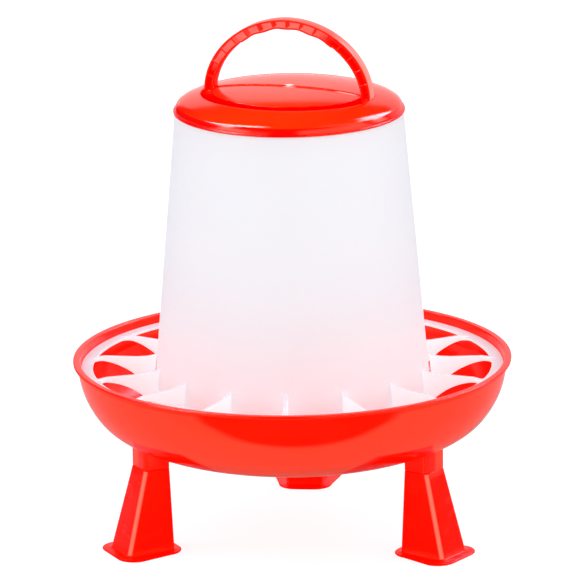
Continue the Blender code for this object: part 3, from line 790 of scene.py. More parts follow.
@dataclass(frozen=True)
class MilkyPlastic:
    """Thin milky polypropylene that lets some light through, with faint flow streaks and a painted glow, more at
    the foot.
    """

    name: str
    colour: tuple = (0.872, 0.898, 0.925, 1.0)
    cloud_colour: tuple = (0.85, 0.873, 0.907, 1.0)
    # colour of the real translucency and of the painted glow
    through_and_glow_colour: tuple = (0.9, 0.93, 0.955, 1.0)
    through: float = 0.3
    # painted light: an even glow, stronger at the foot
    glow: float = 0.1
    foot_glow: float = 0.12
    foot_span: tuple = (0.2, 0.11)
    # painted light: a bluer body at the foot that takes out the red bounced off the dish
    foot_bounce_cancel_colour: tuple = (0.8, 0.92, 0.945, 1.0)
    roughness: tuple = (0.42, 0.52)
    gloss: float = 0.06
    clouds: tuple = (7, 3, (1, 1, 0.35))
    streaks: tuple = (60, 2, (1, 1, 0.04))
    smears: tuple = (45, 3)
    streak_depth: float = 0.0001

    def build(self) -> bpy.types.Material:
        """Makes the material."""
        nodes = Nodes(self.name)
        foot = nodes.step(nodes.along((0, 0, 1)), *self.foot_span)
        body = nodes.mix(nodes.spread(nodes.noise(*self.clouds), 0, 1), self.colour, self.cloud_colour)
        relief = nodes.bump(nodes.noise(*self.streaks), self.streak_depth)
        rough = nodes.spread(nodes.noise(*self.smears), *self.roughness)
        # painted light: the foot's colour takes out the red bounced off the dish
        shader = nodes.plastic(nodes.mix(foot, body, self.foot_bounce_cancel_colour), rough, self.gloss, relief)
        # painted glow, stronger at the foot
        strength = nodes.reckon("ADD", nodes.times(foot, self.foot_glow), self.glow)
        nodes.light_up(shader, self.through_and_glow_colour, strength)
        sheer = nodes.add("ShaderNodeBsdfTranslucent")
        sheer.inputs["Color"].default_value = self.through_and_glow_colour
        nodes.join(relief, sheer.inputs["Normal"])
        blend = nodes.add("ShaderNodeMixShader")
        blend.inputs[0].default_value = self.through
        nodes.join(shader.outputs[0], blend.inputs[1])
        nodes.join(sheer.outputs[0], blend.inputs[2])
        return nodes.finished(blend)


@dataclass(frozen=True)
class WhitePlastic:
    """Satin white moulded polypropylene, with a painted glow on all but the faces that look up, which are painted
    darker.
    """

    name: str
    colour: tuple = (0.74, 0.92, 0.95, 1.0)
    shade_colour: tuple = (0.71, 0.89, 0.92, 1.0)
    # painted shade: the faces that look up take this darker, pinker colour and no glow
    top_shade_colour: tuple = (0.86, 0.78, 0.84, 1.0)
    glow: float = 0.3
    roughness: tuple = (0.45, 0.55)
    gloss: float = 0.12
    top_facing: tuple = (0.3, 0.95)
    clouds: tuple = (14, 3)
    smears: tuple = (60, 3)
    grain: tuple = (700, 2)
    grain_depth: float = 0.00002

    def build(self) -> bpy.types.Material:
        """Makes the material."""
        nodes = Nodes(self.name)
        top = nodes.step(nodes.facing((0, 0, 1)), *self.top_facing)
        body = nodes.mix(nodes.spread(nodes.noise(*self.clouds), 0, 1), self.colour, self.shade_colour)
        rough = nodes.spread(nodes.noise(*self.smears), *self.roughness)
        relief = nodes.bump(nodes.noise(*self.grain), self.grain_depth)
        shader = nodes.plastic(nodes.mix(top, body, self.top_shade_colour), rough, self.gloss, relief)
        # painted glow on all but the faces that look up
        nodes.light_up(shader, self.colour, nodes.times(nodes.left_by(top), self.glow))
        return nodes.finished(shader)


def mark(obj: bpy.types.Object, name: str, weigh: Callable[[Vector], float]) -> None:
    """Marks faces for a material to read.

    Args:
        obj: The piece.
        name: The mark's name.
        weigh: How strongly the face with this middle is marked, from 0 to 1.
    """
    weights = obj.data.attributes.new(name, "FLOAT", "FACE")
    for face in obj.data.polygons:
        weights.data[face.index].value = float(weigh(face.center))


def dress(obj: bpy.types.Object, node: str, finish: bpy.types.Material) -> bpy.types.Object:
    """Finishes a piece and lets it stand for its CAD node.

    Args:
        obj: The piece.
        node: The CAD node that it stands for, which names its body too.
        finish: Its material.

    Returns:
        The same piece.
    """
    soften(obj)
    obj.data.materials.clear()
    obj.data.materials.append(finish)
    for face in obj.data.polygons:
        face.material_index = 0
    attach(obj, node)
    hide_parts(node)
    LOG.info("%s: %d faces", obj.name, len(obj.data.polygons))
    return obj


@dataclass
class LegShape:
    """The section that the legs and their sockets share, for a leg that points along +X."""

    length: float = 0.0693
    top_radii: tuple = (0.114, 0.1364)
    top_half_width: float = 0.0132
    foot_radii: tuple = (0.1115, 0.1545)
    foot_half_widths: tuple = (0.015, 0.0178)
    corner_radius: float = 0.0036
    wall: float = 0.0018
    corner_steps: int = 8

    def outline(self, radii: tuple, half_widths: tuple, corner: float) -> Outline:
        """A box outline with rounded corners.

        Args:
            radii: The inner and outer distance from the feeder's axis.
            half_widths: Half its width at each of the two.
            corner: The corners' radius.

        Returns:
            The outline's points.
        """
        inner, outer = radii
        corners = (
            (outer, half_widths[1], 0), (inner, half_widths[0], 90),
            (inner, -half_widths[0], 180), (outer, -half_widths[1], 270),
        )
        made = []
        for radius, side, start in corners:
            x = radius - math.copysign(corner, radius - (inner + outer) / 2)
            y = side - math.copysign(corner, side)
            for i in range(self.corner_steps + 1):
                turn = math.radians(start + 90 * i / self.corner_steps)
                made.append((x + corner * math.cos(turn), y + corner * math.sin(turn)))
        return made

    def section(self, share: float, inset: float = 0.0) -> Outline:
        """The leg's outline between its foot at share 0 and its top at share 1, moved in by an inset."""
        def between(foot: float, top: float) -> float:
            return foot + (top - foot) * share

        radii = (
            between(self.foot_radii[0], self.top_radii[0]) + inset,
            between(self.foot_radii[1], self.top_radii[1]) - inset,
        )
        widths = tuple(between(foot, self.top_half_width) - inset for foot in self.foot_half_widths)
        return self.outline(radii, widths, max(self.corner_radius - inset, self.corner_radius / 4))


@dataclass
class Dish:
    """The red dish: bowl, rim, feed cone, leg sockets and bayonet posts."""

    rim_radius: float = 0.175
    rim_height: float = 0.1433
    base_height: float = 0.0703
    wall: float = 0.002
    lip_width: float = 0.0035
    lip_thickness: float = 0.0025
    lip_rounding: float = 0.001
    bowl_shares: tuple = (
        (0.49, 0.0), (0.58, 0.031), (0.668, 0.086), (0.753, 0.156), (0.829, 0.243), (0.891, 0.358),
        (0.936, 0.498), (0.971, 0.664), (0.991, 0.834), (1.0, 1.0),
    )
    ledge_width: float = 0.0022
    ledge_run_out: float = 0.009
    ledge_drop: float = 0.0087
    grid_seat_radius: float = 0.1689
    cone_radius: float = 0.064
    cone_height: float = 0.044
    cone_shares: tuple = ((1.0, 0.0), (0.93, 0.045), (0.22, 0.93), (0.0, 1.0))
    cone_rounding: float = 0.012
    socket_wall: float = 0.002
    post_radii: tuple = (0.1035, 0.1072)
    post_half_angle: float = math.radians(4.2)
    lug_radius: float = 0.1126
    lug_half_angle: float = math.radians(2.4)
    lug_heights: tuple = (0.0998, 0.1038)
    post_cap: float = 0.0025
    bayonet_angles: tuple = (30, 150, 270)
    arm_half_width: float = 0.0013
    arm_height: float = 0.026
    edge_rounding: float = 0.0004
    leg: LegShape = field(default_factory=LegShape)

    @property
    def wall_radius(self) -> float:
        """The bowl's outer radius under the rim's lip."""
        return self.rim_radius - self.lip_width

    def bowl(self) -> Outline:
        """The bowl's outer side, from the flat base out to the lip."""
        rise = self.rim_height - self.lip_thickness - self.base_height
        points = [(self.wall_radius * across, self.base_height + rise * up) for across, up in self.bowl_shares]
        level = (points[0][0] - self.wall, points[0][1])
        return smooth_through(points, 5, before=level, after=(points[-1][0], points[-1][1] + rise))

    def cone(self, lift: float) -> Outline:
        """The feed cone's surface, from its foot in to the axis, lifted by a thickness."""
        points = [
            (self.cone_radius * across, self.base_height + lift + self.cone_height * up)
            for across, up in self.cone_shares
        ]
        return rounded(points, self.cone_rounding, 6)

    def floor(self) -> Outline:
        """The middle of the dish's wall as (radius, height) points from the axis out."""
        return list(reversed(self.cone(self.wall / 2))) + offset(self.bowl(), self.wall / 2)

    def shell(self) -> bpy.types.Object:
        """Spins the bowl with its rim and cone."""
        outer = self.bowl()
        ledge = self.rim_height - self.ledge_drop
        inner = [point for point in offset(outer, self.wall) if point[1] < ledge - self.ledge_run_out]
        lip = self.rim_height - self.lip_thickness
        inside = self.wall_radius - self.wall
        rim = rounded([
            outer[-1], (self.rim_radius, lip), (self.rim_radius, self.rim_height), (inside, self.rim_height),
            (self.grid_seat_radius, ledge), (self.grid_seat_radius - self.ledge_width, ledge), inner[-1],
        ], self.lip_rounding, 5)
        under, top = self.cone(0), self.cone(self.wall)
        return lathe("dish_shell", under[::-1] + outer + rim[1:-1] + inner[::-1] + top)

    def socket(self, place: LegPlace) -> bpy.types.Object:
        """Builds the collar that takes one leg's neck.

        Args:
            place: Which leg.

        Returns:
            The collar, which ends inside the bowl's wall.
        """
        middle = self.floor()
        edge = self.edge_rounding
        wide, trimmed = self.leg.section(1), self.leg.section(1, edge)
        hollow = self.leg.section(1, self.socket_wall)
        foot = self.leg.length
        rings = [
            at_height(trimmed, foot), at_height(wide, foot + edge), draped(wide, middle), draped(hollow, middle),
            at_height(hollow, foot),
        ]
        return turned(loft("socket", rings, loop=True), place.angle)

    def sector(self, radii: tuple, half_angle: float, heights: tuple) -> bpy.types.Object:
        """Builds a block between two radii and two heights, whose foot follows the bowl's wall.

        Args:
            radii: The inner and outer radius.
            half_angle: How far it reaches to each side.
            heights: The foot and the top. A foot of 0 stands in the bowl's wall.

        Returns:
            The block, lying along +X.
        """
        steps = 6
        outline = fan(radii, parted(-half_angle, half_angle, steps))
        foot = at_height(outline, heights[0]) if heights[0] else draped(outline, self.floor())
        edge = self.edge_rounding
        trimmed = offset(outline, edge, closed=True)
        rings = [foot, at_height(outline, heights[1] - edge), at_height(trimmed, heights[1])]
        return loft("sector", rings)

    def arm(self) -> bpy.types.Object:
        """Builds the web that ties a bayonet post to the cone, lying along +X."""
        middle = self.floor()
        top = self.base_height + self.arm_height
        steps = 60
        reach = self.post_radii[0] + OVERCUT / 2
        radii = [reach * (i + 1) / steps for i in range(steps)]
        start = next(radius for radius in radii if height_on(middle, radius) < top)
        side, edge = self.arm_half_width, self.edge_rounding
        rings = []
        for radius in parted(start, reach, steps):
            foot = min(height_on(middle, radius), top - edge * 2)
            section = [(-side, foot), (side, foot), (side, top - edge), (side - edge, top), (edge - side, top)]
            section.append((-side, top - edge))
            rings.append([(radius, y, z) for y, z in section])
        return loft("arm", rings)

    def posts(self) -> list[bpy.types.Object]:
        """Builds the bayonet's three posts with their lugs and arms."""
        made = []
        for degrees in self.bayonet_angles:
            top = self.lug_heights[1] + self.post_cap
            lug_radii = (self.post_radii[1] - self.wall, self.lug_radius)
            parts = [
                self.sector(self.post_radii, self.post_half_angle, (0, top)),
                self.sector(lug_radii, self.lug_half_angle, self.lug_heights),
                self.arm(),
            ]
            made += [turned(part, math.radians(degrees)) for part in parts]
        return made

    def build(self, finish: bpy.types.Material) -> bpy.types.Object:
        """Builds and dresses the dish."""
        parts = [self.shell(), *map(self.socket, LegPlace), *self.posts()]
        return dress(merged("dish_moulding", parts), "dish", finish)


@dataclass
class Leg:
    """One hollow leg with a foot flange and a neck that plugs into its socket."""

    place: LegPlace
    dish: Dish
    seat_gap: float = 0.0003
    slide_gap: float = 0.0004
    neck_roof_gap: float = 0.0026
    flange_width: float = 0.0068
    flange_outer_spread: float = 0.0034
    flange_corner: float = 0.0145
    flange_thickness: float = 0.0018
    flange_edge: float = 0.0005
    fillet: float = 0.0012
    shoulder_edge: float = 0.0004
    body_steps: int = 12
    corner_span: tuple = (0.04, 0.97)
    corner_width: float = math.radians(34)

    def flange(self, inset: float) -> Outline:
        """The foot flange's outline moved in by an inset."""
        shape, width = self.dish.leg, self.flange_width - inset
        radii = (shape.foot_radii[0] - width, shape.foot_radii[1] + width)
        inner, outer = (half + width for half in shape.foot_half_widths)
        return shape.outline(radii, (inner, outer + self.flange_outer_spread), self.flange_corner - inset)

    def rings(self) -> list[Ring]:
        """The leg's whole skin, from the roof of its hollow down inside, round the flange and up outside."""
        shape, middle = self.dish.leg, self.dish.floor()
        shoulder, wall = shape.length - self.seat_gap, shape.wall
        neck = shape.section(1, self.dish.socket_wall + self.slide_gap)
        bore = shape.section(1, self.dish.socket_wall + self.slide_gap + wall)

        def body(height: float, inset: float) -> Ring:
            return at_height(shape.section(height / shoulder, inset), height)

        flange, edge, fillet = self.flange_thickness, self.flange_edge, self.fillet
        levels = parted(flange + fillet, shoulder - self.shoulder_edge, self.body_steps)
        return [
            draped(bore, middle, self.neck_roof_gap + wall),
            at_height(bore, shoulder - wall), body(shoulder - wall, wall), body(0, wall),
            at_height(self.flange(edge), 0), at_height(self.flange(0), edge),
            at_height(self.flange(0), flange - edge), at_height(self.flange(edge), flange),
            body(flange, -fillet), body(flange + fillet / 4, -fillet / 3),
            *(body(level, 0) for level in levels),
            body(shoulder, self.shoulder_edge), at_height(neck, shoulder),
            draped(neck, middle, self.neck_roof_gap),
        ]

    def build(self, finish: bpy.types.Material) -> bpy.types.Object:
        """Builds and dresses the leg."""
        made = turned(loft(self.place.node + "_moulding", self.rings()), self.place.angle)
        dress(made, self.place.node, finish)
        # painted highlight along the legs' rounded outer corners
        mark(made, CORNER_HIGHLIGHT, self.corner_highlight_weight)
        return made

    def corner_highlight_weight(self, spot: Vector) -> float:
        """How strongly a spot of the turned leg takes the painted highlight of a rounded outer corner, from 0 to
        1.
        """
        shape = self.dish.leg
        share = spot.z / shape.length
        if not self.corner_span[0] < share < self.corner_span[1]:
            return 0.0
        across = Vector((math.cos(self.place.angle), math.sin(self.place.angle)))
        out, side = spot.xy.dot(across), abs(spot.xy.cross(across))
        outer = shape.foot_radii[1] + (shape.top_radii[1] - shape.foot_radii[1]) * share
        half = shape.foot_half_widths[1] + (shape.top_half_width - shape.foot_half_widths[1]) * share
        reach = Vector((out - outer + shape.corner_radius, side - half + shape.corner_radius))
        if min(reach) <= 0 or reach.length < shape.corner_radius - shape.wall / 2:
            return 0.0
        aside = abs(math.atan2(reach.y, reach.x) - math.radians(45)) / self.corner_width
        return max(0.0, 1 - aside ** 3)


@dataclass
class Hopper:
    """The milky hopper, open at both ends, with a bayonet slot over each of the dish's lugs."""

    dish: Dish
    foot_radius: float = 0.1123
    top_radius: float = 0.0906
    foot_height: float = 0.0933
    top_height: float = 0.3446
    wall: float = 0.002
    rounding: float = 0.0007
    turn: float = math.radians(24)
    slot_half_angle: float = math.radians(3.3)
    slot_gap: float = 0.0005
    slot_inner_radius: float = 0.1072
    slot_margin: float = 0.004
    slot_steps: int = 12

    def radius(self, height: float) -> float:
        """The hopper's outer radius at a height."""
        share = (height - self.foot_height) / (self.top_height - self.foot_height)
        return self.foot_radius + (self.top_radius - self.foot_radius) * share

    def slot_block(self, angles: tuple, heights: tuple) -> bpy.types.Object:
        """A cutter between two angles and two heights, through the hopper's wall."""
        radii = (self.slot_inner_radius, self.foot_radius + self.slot_margin)
        return prism("slot", fan(radii, parted(*angles, self.slot_steps)), *heights)

    def build(self, finish: bpy.types.Material) -> bpy.types.Object:
        """Builds and dresses the hopper."""
        foot, top, wall = self.foot_radius, self.top_radius, self.wall
        ring = rounded([
            (foot, self.foot_height), (top, self.top_height), (top - wall, self.top_height),
            (foot - wall, self.foot_height),
        ], self.rounding, 4, closed=True)
        made = lathe("hopper_moulding", ring + ring[:1])
        low = self.dish.lug_heights[0] - self.slot_gap
        high = self.dish.lug_heights[1] + self.slot_gap
        half = self.slot_half_angle
        for degrees in self.dish.bayonet_angles:
            run = self.slot_block((-self.turn - half, half), (low, high))
            mouth = self.slot_block((-self.turn - half, -self.turn + half), (self.foot_height - OVERCUT, high))
            boolean(made, turned(boolean(run, mouth, Operation.JOIN), math.radians(degrees)), Operation.CUT)
        return dress(made, "hopper", finish)


@dataclass
class DividerGrid:
    """The white grid: a flat ring with scalloped bays, fifteen fins and a low ring round the hopper."""

    dish: Dish
    hopper: Hopper
    fins: int = 15
    first_angle: float = math.radians(-88)
    drop: float = 0.0064
    thickness: float = 0.002
    outer_radius: float = 0.1685
    bay_radius: float = 0.1592
    corner: float = 0.007
    fin_half_width: float = 0.0013
    fin_rise: float = 0.0021
    peak_rise: float = 0.0026
    peak_run: float = 0.017
    fin_outer_radius: float = 0.1645
    fin_taper: float = 0.012
    fin_depth: float = 0.0245
    foot_radius: float = 0.154
    foot_shares: tuple = (
        (0.0, 0.0), (0.1, 0.025), (0.27, 0.1), (0.37, 0.17), (0.46, 0.24), (0.56, 0.34), (0.66, 0.46),
        (0.84, 0.72),
    )
    ring_wall: float = 0.002
    ring_depth: float = 0.009
    hopper_gap: float = 0.0012
    edge: float = 0.00035
    corner_steps: int = 8
    bay_steps: int = 10

    @property
    def top(self) -> float:
        """The flat ring's top."""
        return self.dish.rim_height - self.drop

    @property
    def low(self) -> float:
        """The fins' lowest point."""
        return self.top - self.thickness - self.fin_depth

    def bay_edge(self) -> Outline:
        """The scalloped inner edge as (angle, radius) points."""
        pitch = FULL_TURN / self.fins
        side = self.fin_half_width / self.bay_radius
        reach = self.corner / self.bay_radius
        edge = []
        for index in range(self.fins):
            start = self.first_angle + index * pitch + side
            end = start + pitch - 2 * side
            bay = []
            for i in range(self.corner_steps + 1):
                turn = math.pi / 2 * i / self.corner_steps
                depth = self.corner * (1 - math.sin(turn))
                bay.append((reach * (1 - math.cos(turn)), self.bay_radius - depth))
            edge += [(start + turn, radius) for turn, radius in bay]
            span = end - start - 2 * reach
            turns = parted(start + reach, start + reach + span, self.bay_steps)
            edge += [(turn, self.bay_radius) for turn in turns[1:-1]]
            edge += [(end - turn, radius) for turn, radius in reversed(bay)]
        return edge

    def ring(self) -> bpy.types.Object:
        """Builds the flat ring with softly rounded edges."""
        bays = self.bay_edge()
        top, low, edge = self.top, self.top - self.thickness, self.edge

        def loop(radii: list[float], height: float) -> Ring:
            return [(*on_circle(radius, turn), height) for (turn, _), radius in zip(bays, radii)]

        inner = [radius for _, radius in bays]
        inner_trim = [radius + edge for radius in inner]
        outer = [self.outer_radius] * len(bays)
        outer_trim = [self.outer_radius - edge] * len(bays)
        return loft("ring", [
            loop(inner_trim, top), loop(outer_trim, top), loop(outer, top - edge), loop(outer, low + edge),
            loop(outer_trim, low), loop(inner_trim, low), loop(inner, low + edge), loop(inner, top - edge),
        ], loop=True)

    def fin_outline(self) -> Outline:
        """A fin's side view as (radius, height) points."""
        crest = self.top + self.fin_rise
        under = self.top - self.thickness
        inner_low = self.hopper.radius(self.low) + self.hopper_gap
        inner_high = self.hopper.radius(crest) + self.hopper_gap
        run = self.foot_radius - inner_low
        knots = [(self.foot_radius - run * across, under - self.fin_depth * down)
                 for across, down in self.foot_shares]
        foot = smooth_through(knots, 4)
        bite = self.ring_wall / 2
        upper = [
            (self.fin_outer_radius, self.top - self.thickness / 2), (self.fin_outer_radius, self.top),
            (self.fin_outer_radius - self.fin_taper, crest), (inner_high + self.peak_run, crest),
            (inner_high + self.peak_run / 2, crest + self.peak_rise / 4),
            (inner_high, crest + self.peak_rise), (inner_low + bite, self.low + self.ring_depth / 4),
        ]
        upper = upper[:1] + rounded(upper[1:-1], self.peak_rise / 3, 3) + upper[-1:]
        return [*upper, *reversed(foot), (self.foot_radius + bite, self.top - self.thickness / 2)]

    def fin(self, index: int) -> bpy.types.Object:
        """Builds one fin."""
        outline = self.fin_outline()
        trimmed = offset(outline, self.edge, closed=True)
        half, edge = self.fin_half_width, self.edge
        sections = ((trimmed, -half), (outline, edge - half), (outline, half - edge), (trimmed, half))
        rings = [[(radius, y, height) for radius, height in points] for points, y in sections]
        return turned(loft("fin", rings), self.first_angle + FULL_TURN * index / self.fins)

    def inner_ring(self) -> bpy.types.Object:
        """Builds the band that ties the fins' inner ends together."""
        low, high = self.low, self.low + self.ring_depth
        inner_low = self.hopper.radius(low) + self.hopper_gap
        inner_high = self.hopper.radius(high) + self.hopper_gap
        profile = rounded([
            (inner_low, low), (inner_low + self.ring_wall, low), (inner_high + self.ring_wall, high),
            (inner_high, high),
        ], self.edge, 3, closed=True)
        return lathe("inner_ring", profile + profile[:1])

    def build(self, finish: bpy.types.Material) -> bpy.types.Object:
        """Builds and dresses the grid."""
        parts = [self.ring(), *(self.fin(index) for index in range(self.fins)), self.inner_ring()]
        return dress(merged("divider_grid_moulding", parts), "divider_grid", finish)


@dataclass
class CarryHandle:
    """The arched grip of channel section on two hinge pins."""

    turn: float = math.radians(-13.6)
    hinge_height: float = 0.3543
    half_span: float = 0.069
    rise: float = 0.0605
    post_height: float = 0.0042
    depth: float = 0.011
    side_thickness: float = 0.0078
    top_thickness: float = 0.0072
    outer_power: float = 1.94
    inner_power: float = 1.85
    web: float = 0.002
    flange: float = 0.0017
    rib: float = 0.0014
    cells: int = 16
    finger_pitch: float = 0.0183
    finger_bump: float = 0.0009
    finger_span: float = 0.0366
    end_inset: float = 0.00015
    pin_radius: float = 0.0024
    pin_length: float = 0.0038
    edge: float = 0.0005
    search_steps: int = 3200
    bar_steps: int = 48

    def arch_point(self, angle: float, half_span: float, rise: float, power: float) -> Vector:
        """A point of an arch in the handle's plane: x along the hinge, y up from the top of its posts."""
        across = half_span * abs(math.cos(angle)) ** (2 / power)
        return Vector((math.copysign(across, math.cos(angle)), rise * math.sin(angle) ** (2 / power)))

    def wave(self, across: float) -> float:
        """How far the grip's inner side stands in at a distance from the middle."""
        if abs(across) > self.finger_span:
            return 0.0
        return self.finger_bump * (1 + math.cos(FULL_TURN * across / self.finger_pitch)) / 2

    def pairs(self, steps: int) -> list[tuple[Vector, Vector]]:
        """Matching outer and inner points evenly spaced along the arch.

        Args:
            steps: How many stretches the arch is cut into.

        Returns:
            The pairs, from the handle's +X end.
        """
        fine = self.search_steps
        outer = [self.arch_point(math.pi * i / fine, self.half_span, self.rise, self.outer_power)
                 for i in range(fine + 1)]
        walked = [0.0]
        for before, after in zip(outer, outer[1:]):
            walked.append(walked[-1] + (after - before).length)
        made, spot = [], 0
        for step in range(steps + 1):
            goal = walked[-1] * step / steps
            while spot < fine and abs(walked[spot + 1] - goal) < abs(walked[spot] - goal):
                spot += 1
            inner = self.arch_point(
                math.pi * spot / fine, self.half_span - self.side_thickness, self.rise - self.top_thickness,
                self.inner_power,
            )
            inner.y -= self.wave(inner.x)
            made.append((outer[spot], inner))
        return made

    def plan(self, grow: float, back: float, steps: int) -> Outline:
        """The folded handle's outline seen from above.

        Args:
            grow: How much wider it is on both sides.
            back: How far it reaches back past the hinge.
            steps: How finely the arch is cut.

        Returns:
            The outline's points, before the handle's turn.
        """
        pairs = self.pairs(steps)
        outer = [pair[0] + (pair[0] - pair[1]).normalized() * grow for pair in pairs]
        inner = [pair[1] - (pair[0] - pair[1]).normalized() * grow for pair in pairs]
        drop = self.post_height + back
        for side in (outer, inner):
            side.insert(0, Vector((side[0].x, -drop)))
            side.append(Vector((side[-1].x, -drop)))
        return [(point.x, -(point.y + self.post_height)) for point in outer + list(reversed(inner))]

    def island_plan(self, steps: int) -> Outline:
        """The plan of the lid's middle in front of the hinge, out to the middle of the channel."""
        middle = [(outside + inside) / 2 for outside, inside in self.pairs(steps)]
        outline = [(point.x, -(point.y + self.post_height)) for point in middle]
        return [(outline[0][0], 0.0)] + outline + [(outline[-1][0], 0.0)]

    def upright(self, across: float, depth: float, height: float) -> tuple[float, float, float]:
        """A point of the standing handle from its place in the handle's own plane."""
        return (across, depth, self.hinge_height + self.post_height + height)

    def finish(self) -> WebbedPlastic:
        """The handle's plastic, whose web lies at the channel's back."""
        back = (-math.sin(self.turn), math.cos(self.turn), 0.0)
        return WebbedPlastic("handle_red", through=back, crevice_reach=0.006, roughness=(0.28, 0.36), gloss=0.2)

    def channel(self) -> bpy.types.Object:
        """Builds the arch's channel section, open towards the front."""
        pairs = self.pairs(self.cells * 9)
        drop = Vector((0, self.post_height))
        shares = parted(1, 0, 4)[:-1]
        stations = [tuple(point - drop * share for point in pairs[0]) for share in shares]
        stations += pairs + [tuple(point - drop * share for point in pairs[-1]) for share in reversed(shares)]
        half, edge, rings = self.depth / 2, self.edge, []
        for outer, inner in stations:
            through = inner - outer
            thick = through.length
            through.normalize()
            corners = rounded([
                (0, -half), (self.flange, -half), (self.flange, half - self.web),
                (thick - self.flange, half - self.web), (thick - self.flange, -half), (thick, -half),
                (thick, half), (0, half),
            ], edge, 2, closed=True)
            ring = []
            for depth_in, depth in corners:
                point = outer + through * depth_in
                ring.append(self.upright(point.x, depth, point.y))
            rings.append(ring)
        return loft("channel", rings)

    def ribs(self) -> list[bpy.types.Object]:
        """Builds the cross ribs inside the channel."""
        pairs = self.pairs(self.cells)
        half, made = self.depth / 2, []
        for outer, inner in pairs[1:-1]:
            through = (inner - outer).normalized()
            along = Vector((-through.y, through.x)) * (self.rib / 2)
            start, end = outer + through * self.flange / 2, inner - through * self.flange / 2
            corners = [start - along, end - along, end + along, start + along]
            front, back = -half + self.edge / 2, half - self.web / 2
            trim = Vector(along) * (self.edge / self.rib)
            nose = [start - along + trim, end - along + trim, end + along - trim, start + along - trim]
            rings = [
                [self.upright(point.x, front, point.y) for point in nose],
                [self.upright(point.x, front + self.edge / 2, point.y) for point in corners],
                [self.upright(point.x, back, point.y) for point in corners],
            ]
            made.append(loft("rib", rings))
        return made

    def bar(self, radius: float, start: float, end: float, edge: float = 0.0003) -> bpy.types.Object:
        """Builds a round bar on the hinge's axis.

        Args:
            radius: Its radius.
            start: Where it starts, from the middle.
            end: Where it ends.
            edge: How much its ends are rounded.

        Returns:
            The bar.
        """
        rings = []
        ends = ((start, radius - edge), (start + edge, radius), (end - edge, radius), (end, radius - edge))
        for x, size in ends:
            circle = [on_circle(size, turn) for turn in parted(0, FULL_TURN, self.bar_steps)[:-1]]
            rings.append([(x, y, self.hinge_height + z) for y, z in circle])
        return loft("bar", rings)

    def build(self, finish: bpy.types.Material) -> bpy.types.Object:
        """Builds and dresses the handle."""
        parts = [self.channel(), *self.ribs()]
        inset, half = self.end_inset, self.depth / 2
        for side in (-1, 1):
            boss = (self.half_span - inset, self.half_span - self.side_thickness + inset)
            pin = (self.half_span - self.web, self.half_span + self.pin_length)
            for radius, ends in ((half - inset, boss), (self.pin_radius, pin)):
                parts.append(self.bar(radius, *sorted(side * end for end in ends)))
        made = turned(merged("carry_handle_moulding", parts), self.turn)
        dress(made, "carry_handle", finish)
        mark(made, OUTER_WALL, self.outer_wall())
        return made

    def outer_wall(self) -> Callable[[Vector], bool]:
        """Tells which spots of the turned handle lie on the arch's outer side."""
        arch = [outer for outer, _ in self.pairs(self.cells * 24)]
        arch += [
            Vector((outer.x, -self.post_height * share))
            for outer in (arch[0], arch[-1]) for share in (0.3, 0.6, 0.9)
        ]
        tree = KDTree(len(arch))
        for i, outer in enumerate(arch):
            tree.insert((outer.x, outer.y, 0.0), i)
        tree.balance()
        across = Vector((math.cos(self.turn), math.sin(self.turn)))
        foot = self.hinge_height + self.post_height

        def lies_on(spot: Vector) -> bool:
            return tree.find((spot.xy.dot(across), spot.z - foot, 0.0))[2] < self.flange / 4

        return lies_on


